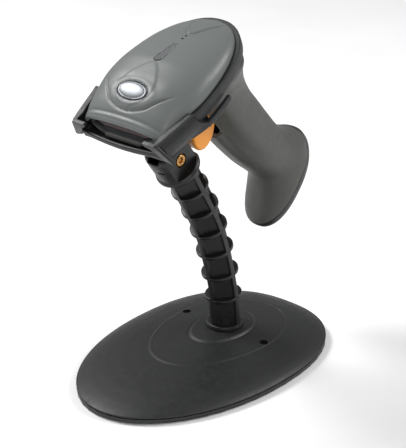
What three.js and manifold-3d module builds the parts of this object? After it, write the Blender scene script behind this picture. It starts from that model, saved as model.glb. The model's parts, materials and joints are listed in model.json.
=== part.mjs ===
// Handheld barcode scanner resting in the cradle of its goose-neck counter stand.
// Units are millimetres, +Z is up. The origin is on the plane the feet stand on, where the
// front and rear halves of the oval base meet. The nose of the scanner points along -Y.
//
// The scanner and the cradle are drawn in a head frame: its y runs backward along the plane
// of the bumper band, its z is the upward normal of that plane, and its origin is the middle
// of the nose. The frame is pitched nose down by HEAD_PITCH.
import * as THREE from 'three';
import { mergeVertices } from 'three/addons/utils/BufferGeometryUtils.js';
import Module from 'manifold-3d';

const wasm = await Module();
wasm.setup();

// ---------------------------------------------------------------- driving dimensions
const DEGREE = Math.PI / 180;
const SIDES = [1, -1];
const WALL = 2.2;                          // shell wall
const GAP = 0.3;                           // assembly gap

// head, in the head frame
const HEAD_PITCH = 27 * DEGREE;
const HEAD_ORIGIN = { y: -72.6, z: 168.7 };  // in the stand's frame
const HEAD_LENGTH = 88.8;                  // nose to tail along the band plane
const HEAD_HALF = 33.4;                    // greatest half width, without the band
const NOSE_HALF = 27.7;                    // half width at the nose
const WIDEST_Y = 28;                       // where the head is widest
const TAIL_POWER = 2.2;                    // superellipse power of the tail outline
const TOP_POWER = 2.3;                     // and of the top shell's cross-section
const GRIP_POWER = 2.35;                   // and of the grip's cross-section
const BAND_DEPTH = 8;
const BAND_PROUD = 1;                      // how far the band stands out in the cradle
const BAND_SWELL = 0.8;                    // extra width of the band behind the nose
const HOUSING_SCREW = { x: 21, y: 14 };    // one on each side
const PIVOT = { y: 52.5, z: -23.5 };       // trigger pivot
const BOARD_TOP = -5.2;                    // top face of the main board
const MOUNT_Z = BOARD_TOP + GAP;           // underside of what stands over the board
const END_CAP_TILT = 26.6 * DEGREE;

// stand
const BASE_HALF = 59.7;                    // half width of the base
const BASE_FRONT = 98;                     // front semi-axis
const BASE_REAR = 79;                      // the rear half is shorter and squarer
const REAR_POWER = 1 / 1.2;
const BASE_SCREWS_Y = { rear: 50, front: -62 };
const COUNTER_HOLE_X = 31;                 // counter screw holes in the base
const FOOT_X = 30;
const FOOT_RADIUS = 7;
const NECK_Y = 14.5;                       // neck root on the base
const CORE_RADIUS = 9.8;                   // corner radius of the square neck section
const FLANGE_RADIUS = 10.75;               // neck flange
const LINK_GAP = 2.4;                      // gap between neck sections
const TILT = { y: -33.9, z: 139.5 };       // tilt screw axis
const TILT_BORE = 2.15;                    // radius of the holes the tilt screw passes
const COLLAR = [-26.4, 125.9];             // [y, z] centre of the knuckle collar

// ---------------------------------------------------------------- looks
// [colour, roughness, metalness]
const LOOKS = {
  shell: [0x858a88, 0.42, 0.25], grip: [0x5c605e, 0.5, 0.2], black: [0x2c2d30, 0.6, 0],
  rubber: [0x222325, 0.85, 0], base: [0x303235, 0.55, 0], orange: [0xf2a23a, 0.35, 0],
  brass: [0xc9a452, 0.3, 1], steel: [0x9a9da0, 0.35, 1], iron: [0x55585b, 0.6, 0.8],
  board: [0x1d5a3a, 0.5, 0], silver: [0xd8dadb, 0.2, 0.6], clear: [0xdfe6e8, 0.1, 0],
  window: [0x5a0f12, 0.1, 0], copper: [0xa5683a, 0.4, 0.9], alu: [0xb9bcbe, 0.35, 0.9],
  mirror: [0xe6e8ea, 0.05, 1], ribbon: [0xc8c8c4, 0.6, 0],
};
function material(look) {
  const [color, roughness, metalness] = LOOKS[look];
  return new THREE.MeshStandardMaterial({ color, roughness, metalness });
}

// ---------------------------------------------------------------- groups
const object = new THREE.Group();
const head = new THREE.Group();
head.position.set(0, HEAD_ORIGIN.y, HEAD_ORIGIN.z);
head.rotation.x = HEAD_PITCH;
object.add(head);

const adderTo = (parent) => (name, geometry, look) => {
  const mesh = new THREE.Mesh(geometry, material(look));
  mesh.name = name;
  parent.add(mesh);
};
const addToHead = adderTo(head);
const addToStand = adderTo(object);

// ---------------------------------------------------------------- solids and booleans
// positions only, with shared vertices welded and collapsed triangles dropped
function weld(geometry) {
  const bare = new THREE.BufferGeometry();
  bare.setAttribute('position', geometry.attributes.position);
  bare.setIndex(geometry.index);
  const welded = mergeVertices(bare, 1e-4);
  const source = welded.index.array;
  const kept = [];
  for (let i = 0; i < source.length; i += 3) {
    const [a, b, c] = source.slice(i, i + 3);
    if (a !== b && b !== c && a !== c) kept.push(a, b, c);
  }
  welded.setIndex(kept);
  return welded;
}
function solid(geometry) {
  const welded = weld(geometry);
  return new wasm.Manifold(new wasm.Mesh({
    numProp: 3,
    vertProperties: new Float32Array(welded.attributes.position.array),
    triVerts: new Uint32Array(welded.index.array),
  }));
}
function toGeometry(manifold) {
  const mesh = manifold.getMesh();
  const geometry = new THREE.BufferGeometry();
  geometry.setAttribute('position', new THREE.BufferAttribute(mesh.vertProperties, 3));
  geometry.setIndex([...mesh.triVerts]);
  geometry.computeVertexNormals();
  return geometry;
}
// fuse and carve work on a manifold body, join and cut on a geometry; the tools are geometries
const fuse = (body, ...tools) => tools.reduce((sum, tool) => sum.add(solid(tool)), body);
const carve = (body, ...tools) => tools.reduce((rest, tool) => rest.subtract(solid(tool)), body);
const join = (geometry, ...tools) => toGeometry(fuse(solid(geometry), ...tools));
const cut = (geometry, ...tools) => toGeometry(carve(solid(geometry), ...tools));

// ---------------------------------------------------------------- basic shapes
const signedPower = (value, exponent) => Math.sign(value) * Math.abs(value) ** exponent;
const clamp01 = (value) => THREE.MathUtils.clamp(value, 0, 1);
const across = (half) => [-half, half];
// range from near to far on one side of x = 0
const onSide = (side, near, far) => (side > 0 ? [near, far] : [-far, -near]);

const box = ([x0, x1], [y0, y1], [z0, z1]) =>
  new THREE.BoxGeometry(x1 - x0, y1 - y0, z1 - z0)
    .translate((x0 + x1) / 2, (y0 + y1) / 2, (z0 + z1) / 2);

// cylinders along one axis, placed by the other two coordinates
const cylinder = (radius, length, segments) =>
  new THREE.CylinderGeometry(radius, radius, length, segments);
const rodX = (radius, [from, to], y, z, segments) =>
  cylinder(radius, to - from, segments).rotateZ(-Math.PI / 2).translate((from + to) / 2, y, z);
const rodY = (radius, [from, to], x, z, segments) =>
  cylinder(radius, to - from, segments).translate(x, (from + to) / 2, z);
const rodZ = (radius, [from, to], x, y, segments) =>
  cylinder(radius, to - from, segments).rotateX(Math.PI / 2).translate(x, y, (from + to) / 2);

const shapeOf = (points) => new THREE.Shape(points.map(([a, b]) => new THREE.Vector2(a, b)));
const extrude = (points, depth) =>
  new THREE.ExtrudeGeometry(shapeOf(points), { depth, bevelEnabled: false });
const sweep = (points, steps, extrudePath) =>
  new THREE.ExtrudeGeometry(shapeOf(points), { steps, bevelEnabled: false, extrudePath });
// prism of an (x, y) outline between two z planes
const plate = (points, [z0, z1]) => extrude(points, z1 - z0).translate(0, 0, z0);
// prism of a (y, z) outline between two x planes
const slab = (points, [x0, x1]) => extrude(points, x1 - x0).applyMatrix4(
  new THREE.Matrix4().set(0, 0, 1, x0, 1, 0, 0, 0, 0, 1, 0, 0, 0, 0, 0, 1));

// [radius, z] profile turned about z, then scaled to an ellipse
const turned = (profile, segments, scaleX = 1, scaleY = 1) =>
  new THREE.LatheGeometry(profile.map(([radius, z]) => new THREE.Vector2(radius, z)), segments)
    .rotateX(Math.PI / 2)
    .scale(scaleX, scaleY, 1);

const ellipse = (radiusX, radiusY, count) => Array.from({ length: count }, (_, i) => {
  const angle = i / count * 2 * Math.PI;
  return [radiusX * Math.cos(angle), radiusY * Math.sin(angle)];
});

function reverseFaces(index) {
  const reversed = [];
  for (let i = 0; i < index.length; i += 3) reversed.push(index[i], index[i + 2], index[i + 1]);
  return reversed;
}

// closed body through rings of equal point count; each end is capped about its centre
function loft(rings) {
  const count = rings[0].length;
  const last = (rings.length - 1) * count;
  const centre = (ring) => [0, 1, 2].map((k) => ring.reduce((sum, p) => sum + p[k] / count, 0));
  const positions = [...rings.flat(), centre(rings[0]), centre(rings.at(-1))].flat();
  const startCentre = last + count, endCentre = startCentre + 1;
  const index = [];
  for (let k = 0; k + 1 < rings.length; k++) for (let i = 0; i < count; i++) {
    const a = k * count + i, b = k * count + (i + 1) % count;
    index.push(a, b, b + count, a, b + count, a + count);
  }
  for (let i = 0; i < count; i++) {
    const j = (i + 1) % count;
    index.push(startCentre, j, i, endCentre, last + i, last + j);
  }
  // turn the body right side out if the rings ran the other way
  const vertex = (i) => new THREE.Vector3().fromArray(positions, 3 * index[i]);
  let volume = 0;
  for (let i = 0; i < index.length; i += 3) {
    volume += vertex(i).dot(vertex(i + 1).cross(vertex(i + 2)));
  }
  const geometry = new THREE.BufferGeometry();
  geometry.setAttribute('position', new THREE.Float32BufferAttribute(positions, 3));
  geometry.setIndex(volume < 0 ? reverseFaces(index) : index);
  return geometry;
}

// ---------------------------------------------------------------- head outline
// half width of the head at y
function planHalf(y) {
  if (y < WIDEST_Y) {
    return NOSE_HALF + (HEAD_HALF - NOSE_HALF) * Math.sin(Math.PI / 2 * y / WIDEST_Y);
  }
  const along = (y - WIDEST_Y) / (HEAD_LENGTH - WIDEST_Y);
  return HEAD_HALF * (1 - along ** TAIL_POWER) ** (1 / TAIL_POWER);
}

// half outline from startY at the nose round to the tail, moved outward along its normal by an
// offset that changes from the widest point to the tail
function halfOutline(startY, offset, tailOffset = offset) {
  const points = [];
  for (let i = 0; i <= 5; i++) {
    const y = startY + (WIDEST_Y - startY) * i / 5;
    points.push([planHalf(y), y]);
  }
  for (let i = 1; i <= 10; i++) {
    const angle = i / 10 * Math.PI / 2;
    points.push([
      HEAD_HALF * signedPower(Math.cos(angle), 2 / TAIL_POWER),
      WIDEST_Y + (HEAD_LENGTH - WIDEST_Y) * signedPower(Math.sin(angle), 2 / TAIL_POWER)]);
  }
  const last = points.length - 1;
  points[last][0] = 0;
  const half = points.map(([x, y], i) => {
    const before = points[Math.max(0, i - 1)], after = points[Math.min(last, i + 1)];
    const [dx, dy] = i === last ? [-1, 0] : [after[0] - before[0], after[1] - before[1]];
    const length = Math.hypot(dx, dy);
    const along = Math.max(0, (y - WIDEST_Y) / (HEAD_LENGTH - WIDEST_Y));
    const move = offset + (tailOffset - offset) * along;
    return [x + dy / length * move, y - dx / length * move];
  });
  half[0][1] = startY;
  return half;
}
// whole outline from a half that ends on x = 0
const mirrored = (half) => [...half, ...half.slice(0, -1).reverse().map(([x, y]) => [-x, y])];

// one rod at each housing screw
const housingRods = (radius, range, segments) =>
  SIDES.map((side) => rodZ(radius, range, side * HOUSING_SCREW.x, HOUSING_SCREW.y, segments));

// ---------------------------------------------------------------- top shell
// [y, z] of the top shell on the centre line
const CREST = [
  [-2, 1.6], [0, 2.5], [2.3, 3.6], [8, 8.0], [16.1, 12.5], [26, 14.3], [39.6, 14.5],
  [48, 13.2], [55.6, 11.9], [64.1, 10.4], [76, 7.0], [84, 3.7], [88.9, 0.7]];
// y of the cross-sections
const TOP_OUTER_Y = [1.0, 2.6, 5, 10, 16.5, 24, 32, 40, 50, 60, 68, 75, 81, 85.5, 87.9, 88.7];
const TOP_INNER_Y = [-1.5, 2.6, 6, 10, 16.5, 24, 32, 40, 50, 60, 68, 75, 81, 85];

function crest(y) {
  const next = CREST.findIndex(([station]) => y <= station);
  const [y0, z0] = CREST[next - 1], [y1, z1] = CREST[next];
  return z0 + (z1 - z0) * (y - y0) / (y1 - y0);
}
function topRing(y, inset, bottom) {
  const half = planHalf(y) - inset, height = Math.max(0.35, crest(y) - inset);
  const count = 12, ring = [];
  for (let i = 0; i <= count; i++) {
    const angle = i / count * Math.PI;
    ring.push([
      half * signedPower(Math.cos(angle), 2 / TOP_POWER), y,
      height * signedPower(Math.sin(angle), 2 / TOP_POWER)]);
  }
  ring[count][2] = 0;                      // exactly on the band plane
  ring.push([-half, y, bottom], [half, y, bottom]);
  return ring;
}
const onCrest = (geometry, y, z, tilt) => geometry.rotateX(tilt).translate(0, y, z);

const BADGE = { y: 16.2, z: 11.6, tilt: 17 * DEGREE };
const badgeRecess = () => onCrest(
  turned([[0, 0], [10.3, 0], [10.3, 6], [0, 6]], 32, 1, 0.68), BADGE.y, BADGE.z - GAP, BADGE.tilt);

// teardrop light pipe, its outline grown by the given margin
const LIGHT_PIPE = { y: 39.6, z: 14.45, tilt: -9.9 * DEGREE };
function lightPipe(margin, range) {
  const half = [
    [1.5 + margin * 0.7, -0.3 - margin * 0.7], [2.3 + margin, 1.2], [2.2 + margin, 3],
    [1.0 + margin, 15.4]];
  const outline = [[0, -0.8 - margin], ...mirrored([...half, [0, 16.2 + margin]])];
  return onCrest(plate(outline, range), LIGHT_PIPE.y, LIGHT_PIPE.z, LIGHT_PIPE.tilt);
}

function topShell() {
  const outer = loft(TOP_OUTER_Y.map((y) => topRing(y, 0, -0.001)));
  const inner = loft(TOP_INNER_Y.map((y) => topRing(y, y < 4 ? 1.6 : WALL, -3)));
  const shell = fuse(carve(solid(outer), inner), ...housingRods(3.2, [MOUNT_Z, 7.6], 16));
  return toGeometry(carve(shell,
    ...housingRods(1.3, [-6, 4.2], 12),
    badgeRecess(),
    lightPipe(GAP, [-12, 6]),
    // two small holes behind the light pipe
    ...[61, 64.1].map((y) => rodZ(0.75, [2, 20], 0, y, 10))));
}
addToHead('top_shell', topShell(), 'shell');

const BADGE_PROFILE = [
  [0, 0], [9.6, 0], [9.9, 0.5], [9.3, 1.5], [7.4, 2.0], [4.5, 2.3], [0, 2.45]];
addToHead('badge',
  onCrest(turned(BADGE_PROFILE, 28, 1, 0.67), BADGE.y, BADGE.z, BADGE.tilt), 'silver');
addToHead('light_pipe', lightPipe(0, [-7.5, 0.35]), 'clear');

// ---------------------------------------------------------------- bumper band
function bumperBand() {
  const startY = 2;
  // the swell comes in behind the nose and fades out toward the tail
  const outer = halfOutline(startY, BAND_PROUD, 3.1)
    .map(([x, y]) => [x + BAND_SWELL * clamp01((y - 21) / 5) * clamp01((70 - y) / 30), y]);
  const inner = halfOutline(startY, -1.5);
  return plate([...mirrored(outer), ...mirrored(inner).reverse()], [-BAND_DEPTH, -GAP]);
}
addToHead('bumper_band', bumperBand(), 'rubber');

// ---------------------------------------------------------------- handle shell
// stations down the grip: [front y, front z, back y, back z, half width]
const GRIP = [
  [30.5, -4.5, 86.0, -4.5, 30.2], [34, -8.6, 86.2, -8.2, 29.8], [39, -13, 85.6, -12.5, 28],
  [43.5, -20, 84.4, -18.5, 24.6], [47.5, -32, 84.2, -29.5, 20.6], [50.4, -46, 87.4, -43.5, 18.2],
  [53.6, -60, 91.9, -56.5, 17], [58.6, -75.5, 96.8, -71.5, 16.3], [64.8, -91.5, 101.6, -86.5, 16],
  [70.8, -104, 105.4, -94.5, 15.8], [74.3, -112.5, 109.6, -99.5, 15.8],
  [72.8, -118.5, 112.8, -103.8, 16], [67.6, -126.5, 114.6, -108.2, 16.5],
  [63.2, -132.8, 114.9, -111.6, 16.9], [61.2, -137.3, 113.6, -115.6, 16.9],
  [62.4, -140.8, 111.4, -118.2, 16.2], [64.3, -142.2, 109.0, -119.8, 15.0]];

const gripRings = (inset) => GRIP.map(([frontY, frontZ, backY, backZ, half]) => {
  const length = Math.hypot(backY - frontY, backZ - frontZ);
  const dirY = (backY - frontY) / length, dirZ = (backZ - frontZ) / length;
  return Array.from({ length: 24 }, (_, i) => {
    const angle = i / 24 * 2 * Math.PI;
    const along = signedPower(Math.cos(angle), 2 / GRIP_POWER) * (length / 2 - inset);
    const x = signedPower(Math.sin(angle), 2 / GRIP_POWER) * (half - inset);
    return [x, (frontY + backY) / 2 + dirY * along, (frontZ + backZ) / 2 + dirZ * along];
  });
});
const gripOuter = cut(loft(gripRings(0)), box(across(60), [-10, 120], [-8.3, 20]));
function gripInner() {
  const rings = gripRings(2.4);
  rings[0] = rings[0].map(([x, y, z]) => [x, y, z + 6]);   // opens up into the belly
  return loft(rings);
}

// everything below and behind the end-cap seam, moved off it by a gap
function belowSeam(gap) {
  const back = Math.sin(END_CAP_TILT) * gap, down = Math.cos(END_CAP_TILT) * gap;
  return slab([
    [40, -147.9], [61.2 + back, -137 - down], [100 + back, -117.6 - down],
    [105.4 + gap, -112.2 - gap * 0.7], [107.9 + gap, -105.5], [108.6 + gap, -98],
    [112 + gap, -90], [130, -90], [130, -165], [40, -165]], across(30));
}
// level ring that follows the head outline
const beltRing = (startY, offset, z) =>
  mirrored(halfOutline(startY, offset)).map(([x, y]) => [x, y, z]);
const pivotRod = (radius, half, segments) =>
  rodX(radius, across(half), PIVOT.y, PIVOT.z, segments);

function handleShell() {
  // [offset from the head outline, z] of the belly, the underside of the head
  const bellyStations = [[-2.1, -0.6], [-2.1, -8.2], [-3.6, -9.0], [-5.6, -9.3]];
  const belly = loft(bellyStations.map(([offset, z]) => beltRing(4.6, offset, z)));
  const bellyInner = loft([1.0, -7.3].map((z) => beltRing(6.6, -4.2, z)));
  let handle = carve(fuse(solid(belly), gripOuter), bellyInner, gripInner(), belowSeam(0));
  for (const side of SIDES) {              // pivot ribs for the trigger pin
    const rib = box(onSide(side, 9.3, 11.3), [47.5, 58], [-30, -17]);
    handle = handle.add(solid(rib).intersect(solid(gripOuter)));
  }
  return toGeometry(carve(handle,
    box(across(8.7), [28, 58.5], [-60, -18.4]),            // trigger slot
    pivotRod(1.65, 14, 16),
    ...housingRods(1.7, [-12, -5], 12),
    ...housingRods(3.0, [-12, -8.3], 16)));                // screw head recesses
}
addToHead('handle_shell', handleShell(), 'grip');

// ---------------------------------------------------------------- grip end cap
// frame on the cap's underside, z up into the grip
const END_CAP_FRAME = new THREE.Matrix4().makeTranslation(0, 86.6, -131)
  .multiply(new THREE.Matrix4().makeRotationX(END_CAP_TILT));
const onEndCap = (geometry) => geometry.applyMatrix4(END_CAP_FRAME);
const SOCKET = { halfX: 6.6, halfY: 5.8 };
const CAP_SCREW_Y = -15;

function gripEndCap() {
  const cap = solid(gripOuter).intersect(solid(belowSeam(GAP)));
  return toGeometry(carve(cap,
    onEndCap(box(across(SOCKET.halfX + GAP), across(SOCKET.halfY + GAP), [-6, 16])),
    onEndCap(rodZ(1.6, [-6, 16], 0, CAP_SCREW_Y, 14)),
    onEndCap(rodZ(2.9, [-6, 1.4], 0, CAP_SCREW_Y, 16))));
}
addToHead('grip_end_cap', gripEndCap(), 'black');
addToHead('cable_socket', cut(
  onEndCap(box(across(SOCKET.halfX), across(SOCKET.halfY), [0.4, 15])),
  onEndCap(box(across(5), across(4), [-1, 11.5]))), 'black');

const CAP_SCREW_PROFILE = [[0, 0.2], [2.6, 0.2], [2.6, 1.0], [1.25, 1.1], [1.25, 9], [0, 10]];
addToHead('end_cap_screw',
  onEndCap(turned(CAP_SCREW_PROFILE, 12).translate(0, CAP_SCREW_Y, 0)), 'steel');

// ---------------------------------------------------------------- nose
// shear that leans the top of the nose backward
const lean = (geometry) => geometry.applyMatrix4(
  new THREE.Matrix4().set(1, 0, 0, 0, 0, 1, 0.485, 0, 0, 0, 1, 0, 0, 0, 0, 1));

// (x, z) outline with an arched top and a bowed bottom, extruded along y
function noseArch({ half, top, shoulder, bottomSide, bottomMid }, [y0, y1]) {
  const points = [];
  for (let i = 0; i <= 14; i++) {
    const x = half * (1 - i / 7);
    const rise = Math.sqrt(Math.max(0, 1 - (x / half) ** 2));
    points.push([x, shoulder + (top - shoulder) * rise]);
  }
  for (let i = 0; i <= 10; i++) {
    const x = -half * 0.97 * (1 - i / 5);
    points.push([x, bottomMid + (bottomSide - bottomMid) * (x / half) ** 2]);
  }
  const arch = weld(extrude(points, y1 - y0).applyMatrix4(
    new THREE.Matrix4().set(1, 0, 0, 0, 0, 0, 1, y0, 0, 1, 0, 0, 0, 0, 0, 1)));
  // swapping y and z turned the faces inside out
  arch.setIndex(reverseFaces(arch.index.array));
  arch.computeVertexNormals();
  return arch;
}
const BEZEL_OUTER = { half: 25.6, top: 1.6, shoulder: -1.4, bottomSide: -7.2, bottomMid: -8.4 };
const BEZEL_INNER = { half: 23.4, top: 0.3, shoulder: -2.4, bottomSide: -4.9, bottomMid: -6.4 };
const WINDOW = { half: 23, top: 0, shoulder: -2.6, bottomSide: -4.7, bottomMid: -6.1 };
addToHead('nose_bezel',
  lean(cut(noseArch(BEZEL_OUTER, [0.6, 4]), noseArch(BEZEL_INNER, [-3, 8]))), 'black');
addToHead('scan_window', lean(noseArch(WINDOW, [2.2, 3.4])), 'window');

// ---------------------------------------------------------------- trigger and switch
// [y, z] side outline of the trigger
const TRIGGER_SIDE = [
  [45, -21], [41, -28], [37.6, -36], [35.9, -44], [36.1, -49], [37.6, -53.4], [40.4, -56],
  [44.4, -56.8], [50.2, -55], [54, -50.5], [56.4, -45], [58.2, -41.5], [58.2, -37],
  [56.2, -29], [55.8, -23.5], [54.4, -20.6], [52, -19.8], [48, -19.6]];
addToHead('trigger', cut(slab(TRIGGER_SIDE, across(7.8)), pivotRod(1.8, 10, 16)), 'orange');
addToHead('trigger_pin', pivotRod(1.5, 11.6, 14), 'steel');

const SPRING = { radius: 2.6, wire: 0.4, turns: 5.5, frontY: 56.9, length: 8.4, z: -49 };
class Helix extends THREE.Curve {
  getPoint(t, target = new THREE.Vector3()) {
    const angle = t * 2 * Math.PI * SPRING.turns;
    return target.set(SPRING.radius * Math.cos(angle), SPRING.frontY + SPRING.length * t,
      SPRING.z + SPRING.radius * Math.sin(angle));
  }
}
addToHead('trigger_spring',
  sweep(ellipse(SPRING.wire, SPRING.wire, 5), 55, new Helix()), 'steel');

const SWITCH_Z = -39.2;
addToHead('trigger_switch', cut(
  box(across(3.2), [61.2, 65.9], across(3.2).map((z) => SWITCH_Z + z)),
  rodY(1.8, [60, 64.6], 0, SWITCH_Z, 14)), 'black');
addToHead('switch_plunger', rodY(1.5, [58.7, 62.2], 0, SWITCH_Z, 14), 'silver');
addToHead('grip_board', box(across(6.5), [66.2, 67.8], [-78, -31]), 'board');

// ---------------------------------------------------------------- main board and ribbon
const BOARD_OUTLINE = [[-24, 10], [24, 10], [24, 54], [16.5, 70], [-16.5, 70], [-24, 54]];
addToHead('main_board', cut(plate(BOARD_OUTLINE, [-6.6, BOARD_TOP]),
  ...housingRods(1.7, [-9, -3], 12)), 'board');

// [y, z] of the ribbon's path from the main board down to the grip board
const RIBBON_PATH = [[70.5, -7.3], [72.6, -9.6], [72.6, -18], [69.4, -28], [68.6, -36]];
const RIBBON_SECTION = [[-3, -0.25], [3, -0.25], [3, 0.25], [-3, 0.25]];
addToHead('board_ribbon', sweep(RIBBON_SECTION, 16,
  new THREE.CatmullRomCurve3(RIBBON_PATH.map(([y, z]) => new THREE.Vector3(0, y, z)))), 'ribbon');

// ---------------------------------------------------------------- scan engine
const CHASSIS = { half: 15, front: 14, back: 43, top: 4.6, wall: 1.4, floor: -3.4 };
const ENGINE_BED = CHASSIS.floor + GAP;    // underside of the parts in the chassis
const LASER = { x: -9, z: 0.2 };
const MIRROR = { shaftY: 31.2, bottom: -1.6, top: 4.2 };

addToHead('engine_chassis', cut(
  box(across(CHASSIS.half), [CHASSIS.front, CHASSIS.back], [MOUNT_Z, CHASSIS.top]),
  box(across(CHASSIS.half - CHASSIS.wall), [10, CHASSIS.back - CHASSIS.wall], [CHASSIS.floor, 9]),
  rodY(3, [40, 45], LASER.x, LASER.z, 16)), 'alu');
addToHead('laser_module', rodY(2.6, [26, 42.6], LASER.x, LASER.z, 18), 'brass');

addToHead('scan_mirror', cut(
  join(box(across(4.2), [29.6, 30.6], [MIRROR.bottom, MIRROR.top]),
    rodZ(1.5, [MIRROR.bottom, MIRROR.top], 0, MIRROR.shaftY, 14)),
  rodZ(0.85, [-3, 6], 0, MIRROR.shaftY, 12)), 'mirror');
addToHead('mirror_shaft', rodZ(0.7, [ENGINE_BED, 5.2], 0, MIRROR.shaftY, 12), 'steel');
addToHead('mirror_coil', box(across(3), [34.2, 38.2], [ENGINE_BED, 2.6]), 'copper');
addToHead('collecting_mirror', slab(
  [[17.4, ENGINE_BED], [20.6, ENGINE_BED], [22.6, 4.2], [20.9, 4.2]], [3.6, 12.8]), 'mirror');
addToHead('photo_detector', box([6.4, 11.6], [38, 40.8], [ENGINE_BED, 2]), 'black');

// ---------------------------------------------------------------- LED, buzzer, screws
const LED_PROFILE = [
  [0, MOUNT_Z], [1.9, MOUNT_Z], [1.9, -3.9], [1.5, -3.7], [1.5, 0.6], [1.0, 1.6], [0, 1.9]];
addToHead('status_led', turned(LED_PROFILE, 14).translate(0, 47.4, 0), 'clear');

const BUZZER_Y = 62.5;
addToHead('buzzer', cut(rodZ(5.9, [MOUNT_Z, 2.6], 0, BUZZER_Y, 24),
  rodZ(1.1, [-1, 4], 0, BUZZER_Y, 12)), 'black');

const HOUSING_SCREW_PROFILE = [[0, -9.2], [2.6, -9.2], [2.6, -8.7], [1.1, -8.5], [1.1, 2], [0, 3]];
for (const [letter, side] of [['a', 1], ['b', -1]]) {
  addToHead(`housing_screw_${letter}`, turned(HOUSING_SCREW_PROFILE, 14)
    .translate(side * HOUSING_SCREW.x, HOUSING_SCREW.y, 0), 'steel');
}

// ---------------------------------------------------------------- cradle
const CRADLE_BOTTOM = -12.4;
const SEAT_Z = -9.8;                       // top of the cradle floor
const ARM_WALL = 2.6;
const ARM_CLEARANCE = 0.45;
// [x, y] outline of the bowed bar across the front
const FRONT_BAR = [
  [31.5, -7.2], [31.5, -4.9], [16, -5.4], [0, -5.8], [-16, -5.4], [-31.5, -4.9],
  [-31.5, -7.2], [-16, -8.8], [0, -9.3], [16, -8.8]];

// half width inside the arms at y
const cradleHalf = (y) => Math.max(planHalf(Math.max(y, 0)), 28.6)
  + BAND_PROUD + ARM_CLEARANCE + (y > 20 ? BAND_SWELL : 0);

function cradleArm(side, [y0, y1], top) {
  const inner = [], outer = [];
  for (let i = 0; i <= 6; i++) {
    const y = y0 + (y1 - y0) * i / 6;
    inner.push([side * cradleHalf(y), y]);
    outer.push([side * (cradleHalf(y) + ARM_WALL), y]);
  }
  return plate([...inner, ...outer.reverse()], [CRADLE_BOTTOM, top]);
}
function cradleFloor() {
  const right = [-7.5, 0, 8, 16, 24, 33].map((y) => [cradleHalf(Math.min(y, 19)) + 0.6, y]);
  const left = right.map(([x, y]) => [-x, y]).reverse();
  return plate([...right, ...left], [CRADLE_BOTTOM, SEAT_Z]);
}
function cradle() {
  // tilt screw axis in the head frame
  const dy = TILT.y - HEAD_ORIGIN.y, dz = TILT.z - HEAD_ORIGIN.z;
  const y = dy * Math.cos(HEAD_PITCH) + dz * Math.sin(HEAD_PITCH);
  const z = -dy * Math.sin(HEAD_PITCH) + dz * Math.cos(HEAD_PITCH);
  const stemRoot = slab([
    [y - 9.5, -11.5], [y - 7, -20], [y - 5.6, z + 16.4], [y + 5.6, z + 16.4], [y + 7, -20],
    [y + 9.5, -11.5]], across(8));
  const tongue = slab([
    [y - 4.5, -22], [y - 4.5, z], [y - 3.2, z - 3.2], [y, z - 4.5], [y + 3.2, z - 3.2],
    [y + 4.5, z], [y + 4.5, -22]], across(3.4));

  let body = fuse(solid(cradleFloor()), plate(FRONT_BAR, [CRADLE_BOTTOM, -7.2]));
  for (const side of SIDES) {              // high arms beside the nose, low ones behind
    body = fuse(body, cradleArm(side, [-7.4, 20.3], 0.9), cradleArm(side, [20, 48.7], -8.5));
  }
  // opening under the nose, in front of the stem
  body = carve(body, box(across(15), [-2, 9], [-14, -8]));
  body = fuse(body, stemRoot, tongue);
  return toGeometry(carve(body, rodX(TILT_BORE, across(10), y, z, 18)));
}
addToHead('cradle', cradle(), 'black');

// ---------------------------------------------------------------- stand base
// draws the rear half of the oval in to a shorter, squarer curve
function squareRear(geometry) {
  const position = geometry.attributes.position;
  for (let i = 0; i < position.count; i++) {
    const x = position.getX(i) / BASE_HALF, y = position.getY(i) / BASE_FRONT;
    const radius = Math.hypot(x, y);
    if (y <= 0 || radius < 1e-6) continue;
    position.setX(i, BASE_HALF * radius * signedPower(x / radius, REAR_POWER));
    position.setY(i, BASE_REAR * radius * signedPower(y / radius, REAR_POWER));
  }
  return geometry;
}
const baseOval = (radiusX, radiusY, range) =>
  squareRear(plate(ellipse(radiusX, radiusY, 48), range));
const baseDome = (profile, segments) =>
  squareRear(turned(profile, segments, BASE_HALF, BASE_FRONT));

// rods at the counter screw holes, the base screws and the neck
const counterRods = (radius, range, segments) =>
  SIDES.map((side) => rodZ(radius, range, side * COUNTER_HOLE_X, NECK_Y, segments));
const baseScrewRods = (radius, range, segments) =>
  Object.values(BASE_SCREWS_Y).map((y) => rodZ(radius, range, 0, y, segments));
const neckRod = (radius, range, segments) => rodZ(radius, range, 0, NECK_Y, segments);

// [share of the base's semi-axes, z]
const DOME_OUTER = [
  [0, 3.5], [1, 3.5], [1, 4.3], [0.99, 5.0], [0.965, 5.9], [0.9, 7.6], [0.8, 9.4],
  [0.68, 10.9], [0.54, 12.0], [0.38, 12.8], [0.2, 13.2], [0, 13.3]];
const DOME_INNER = [
  [0, 3.0], [0.965, 3.0], [0.955, 4.2], [0.88, 6.0], [0.74, 8.0], [0.55, 9.8],
  [0.36, 10.8], [0, 11.3]];
// raised oval pad under the neck
const PAD = { halfX: 16, halfY: 26 };
const PAD_PROFILE = [[0, 11], [PAD.halfY, 11], [PAD.halfY, 13.6], [25.4, 14.2], [0, 14.4]];

function baseCover() {
  const pad = turned(PAD_PROFILE, 40, PAD.halfX / PAD.halfY, 1).translate(0, NECK_Y, 0);
  const dome = carve(solid(baseDome(DOME_OUTER, 48)), baseDome(DOME_INNER, 36));
  const body = fuse(dome, pad, ...baseScrewRods(4, [3.9, 10.4], 18));
  return toGeometry(carve(body,
    ...baseScrewRods(1.35, [3, 9.4], 12),
    ...counterRods(2.7, [2, 20], 18),
    neckRod(3.3, [2, 20], 18)));
}
addToStand('base_cover', baseCover(), 'base');

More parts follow.
